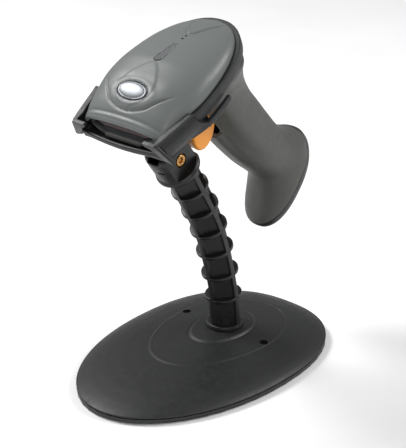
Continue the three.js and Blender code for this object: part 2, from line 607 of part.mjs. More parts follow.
addToStand('base_weight', cut(
  join(baseOval(44.5, 74, [3.6, 7]), baseOval(34, 56, [6.8, 8.8])),
  ...counterRods(3.2, [-2, 20], 16),
  ...baseScrewRods(4.6, [-2, 20], 18),
  neckRod(7.2, [3, 6.6], 20),
  neckRod(3.3, [3, 12], 18)), 'iron');

const FEET = Object.entries({ front: BASE_SCREWS_Y.front, rear: BASE_SCREWS_Y.rear })
  .flatMap(([end, y]) => [[`foot_${end}_left`, -FOOT_X, y], [`foot_${end}_right`, FOOT_X, y]]);
addToStand('base_plate', cut(baseOval(BASE_HALF, BASE_FRONT, [0.9, 3.2]),
  ...FEET.map(([, x, y]) => rodZ(FOOT_RADIUS + GAP, [0, 2], x, y, 18)),
  ...counterRods(2.7, [-2, 20], 16),
  ...baseScrewRods(1.7, [-2, 20], 12),
  ...baseScrewRods(3.2, [-2, 2.1], 16)), 'black');

const FOOT_PROFILE = [[0, 0], [6.5, 0], [FOOT_RADIUS, 0.4], [FOOT_RADIUS, 1.7], [0, 1.7]];
for (const [name, x, y] of FEET) {
  addToStand(name, turned(FOOT_PROFILE, 18).translate(x, y, 0), 'rubber');
}

const BASE_SCREW_PROFILE = [[0, 1], [2.9, 1], [2.9, 1.6], [1.25, 1.85], [1.25, 8.2], [0, 9]];
for (const end of ['front', 'rear']) {
  addToStand(`base_screw_${end}`,
    turned(BASE_SCREW_PROFILE, 16).translate(0, BASE_SCREWS_Y[end], 0), 'steel');
}

const BOLT_PROFILE = [[0, 3.5], [5.4, 3.5], [5.4, 5.4], [3.0, 5.5], [3.0, 22], [0, 22.8]];
addToStand('neck_bolt', turned(BOLT_PROFILE, 18).translate(0, NECK_Y, 0), 'steel');
const WASHER_PROFILE = [[3.3, 5.7], [6.6, 5.7], [6.6, 6.4], [3.3, 6.4], [3.3, 5.7]];
addToStand('neck_washer', turned(WASHER_PROFILE, 20).translate(0, NECK_Y, 0), 'steel');

// ---------------------------------------------------------------- neck
// [y, z] of the flanges up the neck; the joints lie midway between them
const FLANGES = [
  [14.8, 16.7], [13.2, 35.8], [9.7, 52.9], [4.8, 69.8], [-0.9, 85.7], [-8.8, 101.3],
  [-17.6, 116.2]];
const JOINTS = FLANGES.slice(1).map(([y, z], i) =>
  [(FLANGES[i][0] + y) / 2, (FLANGES[i][1] + z) / 2]);
const distance = (from, to) => Math.hypot(to[0] - from[0], to[1] - from[1]);

// turns z to the (y, z) direction and moves the origin to the (y, z) point
const alongNeck = (geometry, [y, z], [dirY, dirZ]) =>
  geometry.rotateX(Math.atan2(-dirY, dirZ)).translate(0, y, z);

function neckSection(from, to, flangeAt, endTrim = LINK_GAP / 2) {
  const core = rodZ(CORE_RADIUS, [LINK_GAP / 2, distance(from, to) - endTrim], 0, 0, 4);
  const flange = rodZ(FLANGE_RADIUS, [flangeAt - 1, flangeAt + 1], 0, 0, 28);
  return alongNeck(join(core, flange), from, [to[0] - from[0], to[1] - from[1]]);
}
function neckRoot() {
  const top = JOINTS[0][1] - LINK_GAP / 2 - 0.6;
  const body = fuse(solid(neckRod(11.6, [14.7, 17.4], 32)), neckRod(CORE_RADIUS, [17, top], 4));
  return toGeometry(carve(body, neckRod(3.15, [14, 23.1], 16)));
}
addToStand('neck_root', neckRoot(), 'black');
for (let i = 1; i <= 5; i++) {
  const flangeAt = distance(JOINTS[i - 1], FLANGES[i]);
  addToStand(`neck_link_${i}`, neckSection(JOINTS[i - 1], JOINTS[i], flangeAt), 'black');
}

// ---------------------------------------------------------------- knuckle and tilt screw
const tiltRod = (radius, range, segments) => rodX(radius, range, TILT.y, TILT.z, segments);
const onCollar = (geometry) => alongNeck(geometry, COLLAR, [-0.51, 0.86]);

function neckKnuckle() {
  const body = fuse(solid(neckSection(JOINTS[5], COLLAR, 9, 0)),
    onCollar(rodZ(13.2, across(1.7), 0, 0, 36)),
    onCollar(rodZ(12.6, [1.5, 26], 0, 0, 36)));
  return toGeometry(carve(body,
    // flat cheeks, then the slot for the cradle's tongue
    ...SIDES.map((side) => onCollar(box(onSide(side, 8, 30), across(30), [2.2, 40]))),
    onCollar(box(across(4.1), across(10.4), [8, 40])),
    onCollar(box(across(4.1), across(30), [20, 40])),
    tiltRod(TILT_BORE, across(20), 18),
    ...SIDES.map((side) => tiltRod(4.3, onSide(side, 6, 20), 24))));
}
addToStand('neck_knuckle', neckKnuckle(), 'black');
addToStand('tilt_screw', cut(
  join(tiltRod(1.95, [-8.4, 8], 18), tiltRod(3.5, [7, 9.6], 24)),
  tiltRod(1.6, [8.2, 12], 6)), 'brass');
addToStand('tilt_washer',
  cut(tiltRod(4, [6.2, 6.8], 22), tiltRod(TILT_BORE, [0, 12], 18)), 'brass');
addToStand('tilt_nut', cut(tiltRod(3.9, [-8.2, -6.2], 6), tiltRod(2.1, [-12, 0], 18)), 'steel');

export default object;
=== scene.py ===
"""Handheld barcode scanner held in the cradle of its goose-neck presenting stand.

Sizes are in millimetres in the row frame: x across, z up from the table, nose toward -y.
The head is drawn in a head frame of its own: x across, "along" from nose to tail, and "up"
from the parting plane between shell and belly, which climbs 27 degrees toward the tail.
"""
import json
import math

import bmesh
import bpy
import numpy as np
from mathutils import Matrix, Vector


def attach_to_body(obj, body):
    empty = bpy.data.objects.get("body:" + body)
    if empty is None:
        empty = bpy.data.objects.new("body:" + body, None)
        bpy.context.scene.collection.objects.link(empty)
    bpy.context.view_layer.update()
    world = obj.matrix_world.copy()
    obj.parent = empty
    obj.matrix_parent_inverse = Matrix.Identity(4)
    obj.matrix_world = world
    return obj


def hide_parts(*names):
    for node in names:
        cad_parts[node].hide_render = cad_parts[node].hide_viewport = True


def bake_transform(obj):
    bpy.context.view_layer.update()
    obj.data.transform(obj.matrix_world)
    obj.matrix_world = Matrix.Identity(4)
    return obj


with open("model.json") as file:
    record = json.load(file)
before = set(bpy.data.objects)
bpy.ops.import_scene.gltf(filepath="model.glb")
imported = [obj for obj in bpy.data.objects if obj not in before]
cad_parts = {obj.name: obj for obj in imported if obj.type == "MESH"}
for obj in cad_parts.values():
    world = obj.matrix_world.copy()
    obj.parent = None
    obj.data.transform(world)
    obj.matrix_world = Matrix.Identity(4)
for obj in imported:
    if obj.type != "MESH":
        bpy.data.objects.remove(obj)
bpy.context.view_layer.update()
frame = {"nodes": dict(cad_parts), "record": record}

MM = 0.001
scene = bpy.context.scene
rad = math.radians

HEAD_TILT = rad(27)
HEAD_COS, HEAD_SIN = math.cos(HEAD_TILT), math.sin(HEAD_TILT)
HEAD_Y, HEAD_Z = -72.6, 168.7           # the head frame's origin, at the nose
HEAD_LEN, HEAD_HALF = 88.8, 33.4        # length, and half width at its widest
NOSE_HALF, WIDEST = 27.7, 28.0          # half width at the nose, place of the widest point
OUTLINE_START = 2.0                     # where the band and belly outlines begin, along
TILT_ALONG, TILT_UP = 21.225, -43.587   # the cradle's tilt axis in the head frame
TILT_AXIS = np.array([0, -33.9, 139.5])     # the same axis in the row frame
TILT_BORE = 2.15
NECK_Y = 14.5                           # the neck's root on the base
ACROSS = np.array([1.0, 0, 0])
UPRIGHT = np.array([0, 0, 1.0])


def head(x, along, up):
    """Head frame to row frame."""
    x, along, up = np.broadcast_arrays(*(np.asarray(v, float) for v in (x, along, up)))
    return np.stack([x, HEAD_Y + along * HEAD_COS - up * HEAD_SIN,
                     HEAD_Z + along * HEAD_SIN + up * HEAD_COS], axis=-1)


def seat(along, up, tilt):
    """A local frame set in the head frame and tilted about x, as a function of x, y, z."""
    cos, sin = math.cos(tilt), math.sin(tilt)
    return lambda x, y, z: head(x, along + y * cos - z * sin, up + y * sin + z * cos)


# ---------------------------------------------------------------- materials

MATS = {}


class Shader:
    """A material with a principled shader, and short calls that add and wire nodes."""

    def __init__(self, name):
        MATS[name] = material = bpy.data.materials.new(name)
        material.use_nodes = True
        self.tree = material.node_tree
        self.tree.nodes.clear()
        output = self.add("ShaderNodeOutputMaterial")
        self.bsdf = self.add("ShaderNodeBsdfPrincipled")
        self.feed(output.inputs[0], self.bsdf.outputs[0])
        self.coords = self.add("ShaderNodeTexCoord").outputs["Object"]
        self.normal = None

    def feed(self, socket, value):
        """Links or sets an input; a three-part colour gets an alpha of 1."""
        if isinstance(value, bpy.types.NodeSocket):
            self.tree.links.new(value, socket)
        elif socket.type == "RGBA" and len(value) == 3:
            socket.default_value = (*value, 1)
        else:
            socket.default_value = value

    def add(self, kind, inputs=None):
        node = self.tree.nodes.new(kind)
        for key, value in (inputs or {}).items():
            self.feed(node.inputs[key], value)
        return node

    def surface(self, **values):
        """Sets principled inputs; underscores stand for spaces."""
        for key, value in values.items():
            self.feed(self.bsdf.inputs[key.replace("_", " ")], value)

    def noise(self, scale, detail, roughness, stretch=(1, 1, 1), distortion=0.0):
        mapping = self.add("ShaderNodeMapping", {"Vector": self.coords, "Scale": stretch})
        return self.add("ShaderNodeTexNoise", {
            "Vector": mapping.outputs[0], "Scale": scale, "Detail": detail,
            "Roughness": roughness, "Distortion": distortion}).outputs["Fac"]

    def remap(self, value, source, target=(0.0, 1.0)):
        return self.add("ShaderNodeMapRange", {
            0: value, "From Min": source[0], "From Max": source[1],
            "To Min": target[0], "To Max": target[1]}).outputs[0]

    def calc(self, operation, first, second, clamp=False):
        node = self.add("ShaderNodeMath", {0: first, 1: second})
        node.operation = operation
        node.use_clamp = clamp
        return node.outputs[0]

    def mix(self, amount, first, second):
        node = self.add("ShaderNodeMix")
        node.data_type = "RGBA"
        for key, value in ((0, amount), (6, first), (7, second)):
            self.feed(node.inputs[key], value)
        return node.outputs[2]

    def worn_edge(self, radius):
        """1 on edges, 0 on flats: a bevelled normal against the true normal."""
        bevelled = self.add("ShaderNodeBevel", {"Radius": radius})
        bevelled.samples = 4
        geometry = self.add("ShaderNodeNewGeometry")
        dot = self.add("ShaderNodeVectorMath",
                       {0: bevelled.outputs[0], 1: geometry.outputs["Normal"]})
        dot.operation = "DOT_PRODUCT"
        return self.remap(dot.outputs["Value"], source=(1.0, 0.825))

    def bump(self, height, strength, distance):
        """Adds a bump (distance in metres) on top of the earlier ones."""
        node = self.add("ShaderNodeBump",
                        {"Strength": strength, "Distance": distance, "Height": height})
        if self.normal is not None:
            self.feed(node.inputs["Normal"], self.normal)
        self.normal = node.outputs[0]
        self.surface(Normal=self.normal)


def srgb(*levels):
    """0-255 screen levels to a linear colour."""
    return tuple(((v / 255 + 0.055) / 1.055) ** 2.4 if v > 10.3 else v / 255 / 12.92
                 for v in levels)


def scaled(colour, factor, lift=0.0):
    return tuple(min(1.0, v * factor + lift) for v in colour)


def plastic(name, rgb, grain, roughness, tone, grain_depth=0.00003, grain_strength=0.35,
            wear=None, specular=0.5):
    """Moulded plastic: grained, with a slow tone drift, scuffs and paler worn edges."""
    base = srgb(*rgb)
    s = Shader(name)
    slow = s.noise(scale=28.0, detail=3.0, roughness=0.5)
    mottle = s.noise(scale=260.0, detail=5.0, roughness=0.6)
    fine = s.noise(scale=grain, detail=2.0, roughness=0.6)
    cells = s.add("ShaderNodeTexVoronoi",
                  {"Vector": s.coords, "Scale": grain * 0.45}).outputs["Distance"]
    scuff = s.noise(scale=160.0, detail=6.0, roughness=0.7, stretch=(1.0, 0.12, 1.0),
                    distortion=0.6)
    colour = s.mix(s.remap(slow, source=(0.3, 0.7)),
                   scaled(base, 1 - tone), scaled(base, 1 + tone))
    colour = s.mix(s.remap(mottle, source=(0.35, 0.75), target=(0.0, 0.35)), colour,
                   scaled(base, 1 - tone * 1.6))
    colour = s.mix(s.remap(fine, source=(0.45, 0.8), target=(0.0, 0.3)), colour,
                   scaled(base, 1.35, lift=0.004))
    if wear is not None:
        patches = s.remap(mottle, source=(0.35, 0.65), target=(0.3, 1.0))
        worn = s.calc("MULTIPLY", s.worn_edge(radius=0.0006), patches, clamp=True)
        colour = s.mix(worn, colour, srgb(*wear))
    rough = s.remap(mottle, source=(0.3, 0.7), target=roughness)
    scuffed = s.calc("MULTIPLY", s.remap(scuff, source=(0.58, 0.72)), 0.0875)
    rough = s.calc("ADD", rough, scuffed)
    polished = s.calc("MULTIPLY", s.remap(slow, source=(0.45, 0.75)), 0.05)
    rough = s.calc("SUBTRACT", rough, polished, clamp=True)
    s.surface(Base_Color=colour, Roughness=rough, Specular_IOR_Level=specular)
    s.bump(mottle, strength=0.05, distance=0.0002)
    s.bump(cells, strength=grain_strength * 0.5, distance=grain_depth)
    s.bump(fine, strength=grain_strength, distance=grain_depth)


def metal(name, rgb, roughness, tone=0.15, brushed=(1, 1, 1), painted_shade_rgb=None):
    """Metal with a fine, optionally brushed grain, and optional painted shade darkening its
    corners.
    """
    base = srgb(*rgb)
    s = Shader(name)
    slow = s.noise(scale=300.0, detail=4.0, roughness=0.6)
    fine = s.noise(scale=4200.0, detail=3.0, roughness=0.6, stretch=brushed)
    colour = s.mix(s.remap(slow, source=(0.35, 0.7)), scaled(base, 1 - tone), base)
    colour = s.mix(s.remap(fine, source=(0.4, 0.75), target=(0.0, 0.4)), colour,
                   scaled(base, 1.25))
    if painted_shade_rgb is not None:
        # painted shade: an ambient-occlusion mask darkens the colour in corners and crevices
        painted_shade_mask = s.add("ShaderNodeAmbientOcclusion", {"Distance": 0.0015}).outputs["AO"]
        colour = s.mix(s.remap(painted_shade_mask, source=(0.35, 0.85), target=(0.75, 0.0)), colour,
                       srgb(*painted_shade_rgb))
    s.surface(Base_Color=colour, Metallic=1.0,
              Roughness=s.remap(fine, source=(0.3, 0.7), target=roughness))
    s.bump(slow, strength=0.08, distance=0.0001)
    s.bump(fine, strength=0.25, distance=0.00002)


def clear(name, tint, roughness, transmission):
    """Tinted clear plastic; the tint is linear."""
    s = Shader(name)
    slow = s.noise(scale=220.0, detail=3.0, roughness=0.5)
    fine = s.noise(scale=5200.0, detail=2.0, roughness=0.5)
    colour = s.mix(s.remap(slow, source=(0.3, 0.7)), tint, scaled(tint, 1.2, lift=0.01))
    rough = s.remap(fine, source=(0.35, 0.7), target=(roughness, roughness + 0.12))
    s.surface(Base_Color=colour, Transmission_Weight=transmission, IOR=1.49, Roughness=rough)
    s.bump(slow, strength=0.04, distance=0.0001)
    s.bump(fine, strength=0.05, distance=0.00001)


def board(name, rgb, trace):
    """Solder-masked circuit board with tracks in a brick pattern."""
    base = srgb(*rgb)
    s = Shader(name)
    tracks = s.add("ShaderNodeTexBrick", {
        "Vector": s.coords, "Scale": 160.0, "Mortar Size": 0.06, "Color1": base,
        "Color2": scaled(base, 0.8), "Mortar": srgb(*trace)})
    grain = s.noise(scale=1400.0, detail=4.0, roughness=0.6)
    colour = s.mix(s.remap(grain, source=(0.4, 0.75), target=(0.0, 0.5)),
                   tracks.outputs["Color"], scaled(base, 0.6))
    s.surface(Base_Color=colour,
              Roughness=s.remap(grain, source=(0.3, 0.7), target=(0.3, 0.5)))
    s.bump(tracks.outputs["Fac"], strength=0.3, distance=0.00004)
    s.bump(grain, strength=0.2, distance=0.00003)


plastic("shell_satin", (100, 104, 103), grain=7000, grain_depth=0.00002,
        roughness=(0.40, 0.50), tone=0.05, wear=(128, 131, 129), grain_strength=0.28)
plastic("handle_satin", (72, 73, 69), grain=6200, roughness=(0.46, 0.58), tone=0.06,
        wear=(112, 113, 109))
plastic("black_soft", (31, 32, 34), grain=5200, grain_depth=0.00004,
        roughness=(0.48, 0.62), tone=0.08, wear=(52, 53, 56), grain_strength=0.4)
plastic("black_plastic", (26, 27, 29), grain=6500, roughness=(0.38, 0.52), tone=0.08,
        wear=(50, 51, 54))
plastic("base_satin", (22, 23, 24), grain=3600, grain_depth=0.00005,
        roughness=(0.44, 0.56), tone=0.07, wear=(40, 41, 43), grain_strength=0.5)
plastic("neck_black", (9, 10, 11), grain=5200, grain_depth=0.00004,
        roughness=(0.36, 0.5), tone=0.08, grain_strength=0.4)
plastic("trigger_orange", (238, 150, 44), grain=7000, grain_depth=0.00002,
        roughness=(0.34, 0.46), tone=0.05, wear=(252, 190, 96), grain_strength=0.25)
metal("badge_silver", (150, 153, 157), roughness=(0.46, 0.56), brushed=(0.15, 1.0, 1.0),
      tone=0.05)
clear("window_red", (0.03, 0.001, 0.002), roughness=0.3, transmission=0.15)
clear("clear_guide", srgb(112, 114, 116), roughness=0.25, transmission=0.35)
# brass and steel get painted shade darkening their corners
metal("brass", (196, 150, 92), roughness=(0.24, 0.4), painted_shade_rgb=(70, 48, 26))
metal("steel", (150, 152, 156), roughness=(0.26, 0.42), painted_shade_rgb=(40, 40, 42))
plastic("cast_weight", (62, 62, 64), grain=1600, grain_depth=0.0002,
        roughness=(0.6, 0.8), tone=0.2, grain_strength=0.8)
plastic("foot_rubber", (26, 26, 27), grain=4200, grain_depth=0.00008,
        roughness=(0.7, 0.85), tone=0.15, grain_strength=0.6, specular=0.3)
board("circuit_green", (22, 84, 48), trace=(60, 130, 80))
# the alloy gets painted shade darkening its corners
metal("alloy", (168, 170, 174), roughness=(0.3, 0.5), painted_shade_rgb=(50, 50, 52))
metal("mirror", (222, 226, 230), roughness=(0.03, 0.08), tone=0.03)
metal("copper", (186, 102, 62), roughness=(0.25, 0.4), brushed=(1, 1, 0.05))
plastic("part_black", (30, 30, 32), grain=4200, roughness=(0.3, 0.5), tone=0.15)
plastic("ribbon", (196, 170, 118), grain=2600, roughness=(0.35, 0.5), tone=0.1)
plastic("bezel_grey", (27, 28, 30), grain=6500, roughness=(0.36, 0.5), tone=0.08,
        wear=(60, 61, 64), grain_strength=0.3)
plastic("cradle_black", (25, 26, 28), grain=4200, grain_depth=0.00005,
        roughness=(0.42, 0.56), tone=0.08, wear=(58, 59, 62), grain_strength=0.45)

# ---------------------------------------------------------------- objects and booleans
# A solid is a pair (vertices in mm, faces). Angles are sharp-edge limits in degrees.


def link_mesh(name, solid):
    verts, faces = solid
    mesh = bpy.data.meshes.new(name)
    mesh.from_pydata((np.asarray(verts, float) * MM).tolist(), [],
                     [tuple(int(i) for i in face) for face in faces])
    obj = bpy.data.objects.new(name, mesh)
    scene.collection.objects.link(obj)
    return obj


def weld(mesh, dissolve):
    bm = bmesh.new()
    bm.from_mesh(mesh)
    bmesh.ops.remove_doubles(bm, verts=bm.verts, dist=2e-6)
    if dissolve:
        bmesh.ops.dissolve_degenerate(bm, edges=bm.edges, dist=2e-6)
    bmesh.ops.recalc_face_normals(bm, faces=bm.faces)
    bm.to_mesh(mesh)
    bm.free()


def tidy(mesh, angle):
    weld(mesh, dissolve=True)
    mesh.shade_smooth()
    mesh.set_sharp_from_angle(angle=rad(angle))
    mesh.update()


def attach(obj, body, replaces):
    """Makes the object move with a body and stand in for a CAD part."""
    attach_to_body(obj, body)
    if replaces:
        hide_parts(replaces)


def add_part(name, solid, material, body=None, replaces=None, angle=38.0):
    obj = link_mesh(name, solid)
    tidy(obj.data, angle)
    obj.data.materials.append(MATS[material])
    if body:
        attach(obj, body, replaces)
    return obj


def add_tool(solid):
    obj = link_mesh("tool", solid)
    weld(obj.data, dissolve=False)
    return obj


def bake_modifiers(obj):
    """Applies the modifiers and keeps the object's own material on every face."""
    bpy.context.view_layer.update()
    graph = bpy.context.evaluated_depsgraph_get()
    mesh = bpy.data.meshes.new_from_object(obj.evaluated_get(graph))
    obj.modifiers.clear()
    materials = list(obj.data.materials)
    obj.data = mesh
    mesh.materials.clear()
    for material in materials:
        mesh.materials.append(material)
    mesh.polygons.foreach_set("material_index", [0] * len(mesh.polygons))


def boolean(obj, solid, operation="DIFFERENCE", angle=38.0):
    other = add_tool(solid)
    modifier = obj.modifiers.new("cut", "BOOLEAN")
    modifier.operation, modifier.solver, modifier.object = operation, "EXACT", other
    bake_modifiers(obj)
    bpy.data.objects.remove(other)
    tidy(obj.data, angle)


def bevel(obj, width, segments, limit, angle):
    """Rounds the edges sharper than the limit."""
    modifier = obj.modifiers.new("bevel", "BEVEL")
    modifier.width, modifier.segments = width * MM, segments
    modifier.limit_method, modifier.angle_limit = "ANGLE", rad(limit)
    modifier.use_clamp_overlap = True
    modifier.miter_outer = "MITER_ARC"
    bake_modifiers(obj)
    tidy(obj.data, angle)


def unite(obj):
    """Turns overlapping closed lumps in one mesh into one clean skin."""
    # the self-union needs a second operand: a far-off box, deleted afterwards
    far_box = link_mesh("nil", box((-500, -500, -500), (-499, -499, -499)))
    modifier = obj.modifiers.new("unite", "BOOLEAN")
    modifier.operation, modifier.solver, modifier.use_self = "UNION", "EXACT", True
    modifier.object = far_box
    bake_modifiers(obj)
    bm = bmesh.new()
    bm.from_mesh(obj.data)
    far = [vert for vert in bm.verts if vert.co.x < -0.4]
    bmesh.ops.delete(bm, geom=far, context="VERTS")
    bm.to_mesh(obj.data)
    bm.free()
    bpy.data.objects.remove(far_box)
    tidy(obj.data, 32)


# ---------------------------------------------------------------- shape tools


def strip(first, second, closed=False):
    """Quads between two rows of vertex numbers."""
    if closed:
        return list(zip(first, np.roll(first, -1), np.roll(second, -1), second))
    return list(zip(first, first[1:], second[1:], second))


def loft(rings, looped=False):
    """Joins rings of equal count, either capped at both ends or looped back to the first."""
    rings = np.asarray(rings, float)
    count, around = rings.shape[:2]
    index = np.arange(count * around).reshape(count, around)
    faces = []
    for k in range(count if looped else count - 1):
        faces += strip(index[k], index[(k + 1) % count], closed=True)
    if not looped:
        faces += [tuple(index[0][::-1]), tuple(index[-1])]
    return rings.reshape(-1, 3), faces


def placed(solid, place):
    """The solid with its points moved by a function of x, y, z."""
    return place(*solid[0].T), solid[1]


def merge(*solids):
    verts, faces, offset = [], [], 0
    for points, polygons in solids:
        verts.append(points)
        faces += [tuple(i + offset for i in face) for face in polygons]
        offset += len(points)
    return np.concatenate(verts), faces


def section(outline, axis, value):
    """A ring from a flat outline: the missing coordinate is put in at the given axis."""
    return np.insert(np.asarray(outline, float), axis, value, axis=1)


def turned(centre, axis, profile, count):
    """A turned solid: profile of (radius, height along the axis)."""
    axis = unit(axis)
    side = unit(np.cross(axis, UPRIGHT if abs(axis[2]) < 0.9 else ACROSS))
    other = np.cross(axis, side)
    turn = np.linspace(0, 2 * np.pi, count, endpoint=False)
    return loft([np.asarray(centre, float) + axis * height
                 + np.outer(np.cos(turn), side) * radius
                 + np.outer(np.sin(turn), other) * radius for radius, height in profile])


def cylinder(centre, axis, radius, start, end, count):
    return turned(centre, axis, [(radius, start), (radius, end)], count)


def box(low, high):
    (x0, y0, z0), (x1, y1, z1) = low, high
    verts = np.array([[x, y, z] for z in (z0, z1)
                      for x, y in ((x0, y0), (x1, y0), (x1, y1), (x0, y1))], float)
    return verts, [(0, 3, 2, 1), (4, 5, 6, 7), (0, 1, 5, 4), (1, 2, 6, 5), (2, 3, 7, 6),
                   (3, 0, 4, 7)]


def unit(vectors):
    vectors = np.asarray(vectors, float)
    return vectors / np.linalg.norm(vectors, axis=-1, keepdims=True)


def spline(points, count):
    """A Catmull-Rom curve through points, or through whole rings."""
    points = np.asarray(points, float)
    last = len(points) - 1
    place = np.linspace(0, last, count)
    i = np.clip(np.floor(place).astype(int), 0, last - 1)
    f = (place - i).reshape(-1, *([1] * (points.ndim - 1)))
    before, start = points[np.maximum(i - 1, 0)], points[i]
    end, after = points[i + 1], points[np.minimum(i + 2, last)]
    return 0.5 * (2 * start + (end - before) * f
                  + (2 * before - 5 * start + 4 * end - after) * f ** 2
                  + (3 * start - before - 3 * end + after) * f ** 3)


def smooth_table(table, sigma, low, high, step=0.2):
    """A table of (place, value) as a function, blurred by a bell curve of width sigma."""
    table = np.asarray(table, float)
    places, values = table.T
    x = np.arange(low - 6 * sigma, high + 6 * sigma, step)
    y = np.interp(x, places, values)
    slope_low = (values[1] - values[0]) / (places[1] - places[0])
    slope_high = (values[-1] - values[-2]) / (places[-1] - places[-2])
    y = np.where(x < places[0], values[0] + (x - places[0]) * slope_low, y)
    y = np.where(x > places[-1], values[-1] + (x - places[-1]) * slope_high, y)
    reach = int(4 * sigma / step)
    kernel = np.exp(-0.5 * (np.arange(-reach, reach + 1) * step / sigma) ** 2)
    padded = np.pad(y, len(kernel) // 2, mode="edge")
    y = np.convolve(padded, kernel / kernel.sum(), mode="valid")
    return lambda place: np.interp(place, x, y)


def ease(start, end, value):
    """Smooth step from 0 at start to 1 at end."""
    t = np.clip((np.asarray(value, float) - start) / (end - start), 0, 1)
    return t * t * (3 - 2 * t)


def bell(distance, width):
    return np.exp(-0.5 * (distance / width) ** 2)


def signed_power(value, power):
    return np.sign(value) * np.abs(value) ** power


def lengths_along(points):
    steps = np.linalg.norm(np.diff(points, axis=0), axis=1)
    return np.concatenate([[0], np.cumsum(steps)])


def resample(line, count, closed=True):
    """Evenly spaced points along a line."""
    points = np.asarray(line, float)
    if closed:
        points = np.vstack([points, points[:1]])
    length = lengths_along(points)
    if closed:
        place = np.linspace(0, length[-1], count + 1)[:-1]
    else:
        place = np.linspace(0, length[-1], count)
    return np.stack([np.interp(place, length, column) for column in points.T], axis=1)


def mirrored(half):
    """A line that ends at x = 0, carried on by its mirror image."""
    return half + [(-x, y) for x, y in half[-2::-1]]


def round_poly(points, radii, segments):
    """A closed flat outline with its corners rounded."""
    points = [np.asarray(p, float) for p in points]
    count = len(points)
    radii = list(radii) if np.ndim(radii) else [radii] * count
    out = []
    for i, corner in enumerate(points):
        back, ahead = points[i - 1] - corner, points[(i + 1) % count] - corner
        back_length, ahead_length = np.linalg.norm(back), np.linalg.norm(ahead)
        back, ahead = back / back_length, ahead / ahead_length
        angle = math.acos(np.clip(back @ ahead, -1, 1))
        if radii[i] <= 1e-6 or angle > math.pi - 1e-3:
            out += [corner] * (segments + 1)
            continue
        trim = min(radii[i] / math.tan(angle / 2), 0.49 * back_length, 0.49 * ahead_length)
        start, end = corner + back * trim, corner + ahead * trim
        for k in range(segments + 1):
            t = k / segments
            out.append((1 - t) ** 2 * start + 2 * t * (1 - t) * corner + t ** 2 * end)
    return np.array(out)


def outward(line):
    """Outward normals of a closed anticlockwise outline."""
    step = np.gradient(np.vstack([line[-1:], line, line[:1]]), axis=0)[1:-1]
    return unit(np.stack([step[:, 1], -step[:, 0]], 1))


def grid_normals(grid, wrap=False):
    down = np.gradient(grid, axis=0)
    if wrap:
        wide = np.concatenate([grid[:, -1:], grid, grid[:, :1]], axis=1)
        over = np.gradient(wide, axis=1)[:, 1:-1]
    else:
        over = np.gradient(grid, axis=1)
    normal = np.cross(down, over)
    return normal / np.maximum(np.linalg.norm(normal, axis=2, keepdims=True), 1e-9)


def line_distance(px, py, line):
    """Distance from points to an open line, and the share of its length where they meet it."""
    line = np.asarray(line, float)
    best = np.full(np.shape(px), 1e9)
    share = np.zeros(np.shape(px))
    length = lengths_along(line)
    for k in range(len(line) - 1):
        start = line[k]
        run = line[k + 1] - start
        t = np.clip(((px - start[0]) * run[0] + (py - start[1]) * run[1]) / (run @ run), 0, 1)
        distance = np.hypot(px - start[0] - t * run[0], py - start[1] - t * run[1])
        nearer = distance < best
        best = np.where(nearer, distance, best)
        here = (length[k] + t * (length[k + 1] - length[k])) / length[-1]
        share = np.where(nearer, here, share)
    return best, share


# ---------------------------------------------------------------- head outline
TAIL_POWER = 2.2        # superellipse power of the tail's outline


def tail_share(along):
    """0 up to the widest point, 1 at the tail's end."""
    return np.clip((along - WIDEST) / (HEAD_LEN - WIDEST), 0, 1)


def plan_half(along):
    """Half width of the head."""
    along = np.asarray(along, float)
    swell = np.sin(np.pi / 2 * np.clip(along, -12, WIDEST) / WIDEST)
    front = NOSE_HALF + (HEAD_HALF - NOSE_HALF) * swell
    tail = HEAD_HALF * (1 - tail_share(along) ** TAIL_POWER) ** (1 / TAIL_POWER)
    return np.where(along < WIDEST, front, tail)


def half_outline(offset, count):
    """The +x half outline, nose to tail, moved outward by offset(along)."""
    front_count = count // 3
    front = np.linspace(OUTLINE_START, WIDEST, front_count)
    turn = np.linspace(0, np.pi / 2, count - front_count + 1)[1:]
    tail = np.stack([HEAD_HALF * np.cos(turn) ** (2 / TAIL_POWER),
                     WIDEST + (HEAD_LEN - WIDEST) * np.sin(turn) ** (2 / TAIL_POWER)], 1)
    line = np.vstack([np.stack([plan_half(front), front], 1), tail])
    line[-1, 0] = 0
    line = resample(line, count, closed=False)
    step = np.gradient(line, axis=0)
    step[-1] = (-1, 0)
    step = unit(step)
    moved = line + (np.stack([step[:, 1], -step[:, 0]], 1)
                    * np.reshape(offset(line[:, 1]), (-1, 1)))
    moved[-1, 0] = 0
    moved[0, 1] = OUTLINE_START
    return moved


# ---------------------------------------------------------------- top shell
SHELL_POWER = 2.3       # superellipse power of the shell's cross section

# (along, up) of the shell's ridge line
crest = smooth_table([
    [-2, 2.9], [0, 4.3], [2.3, 5.9], [8, 9.2], [16.1, 12.5], [26, 14.3], [39.6, 14.5],
    [48, 13.2], [55.6, 11.9], [64.1, 10.4], [76, 7.0], [84, 3.7], [88.9, 0.7]],
    1.7, -2, 88.9)

# (x, along) of the groove that sweeps across behind the nose
GROOVE = spline(mirrored([(-27.0, 24.6), (-25, 22.2), (-20.5, 17.4), (-16, 12.3),
                          (-12.5, 8.9), (-8, 6.9), (-4.2, 5.9), (0, 5.6)]), 80)
# drop-shaped pad under the badge: places along, and half widths there
PAD_ALONG = [5, 8.6, 10.5, 13, 16, 19, 22, 25, 28, 31, 33.5, 35.5, 37.2]
PAD_HALF = [0, 4.0, 7.4, 10.2, 11.6, 12.0, 11.6, 10.4, 8.8, 6.9, 5.0, 3.2, 1.4]
# (half width, along) of the raised flash at the tail
FLASH_HALF, FLASH_ALONG = zip((0, 66.4), (2.2, 67.6), (3.7, 70.6), (5.6, 75.4), (7.6, 80.2),
                              (9.2, 84.5))
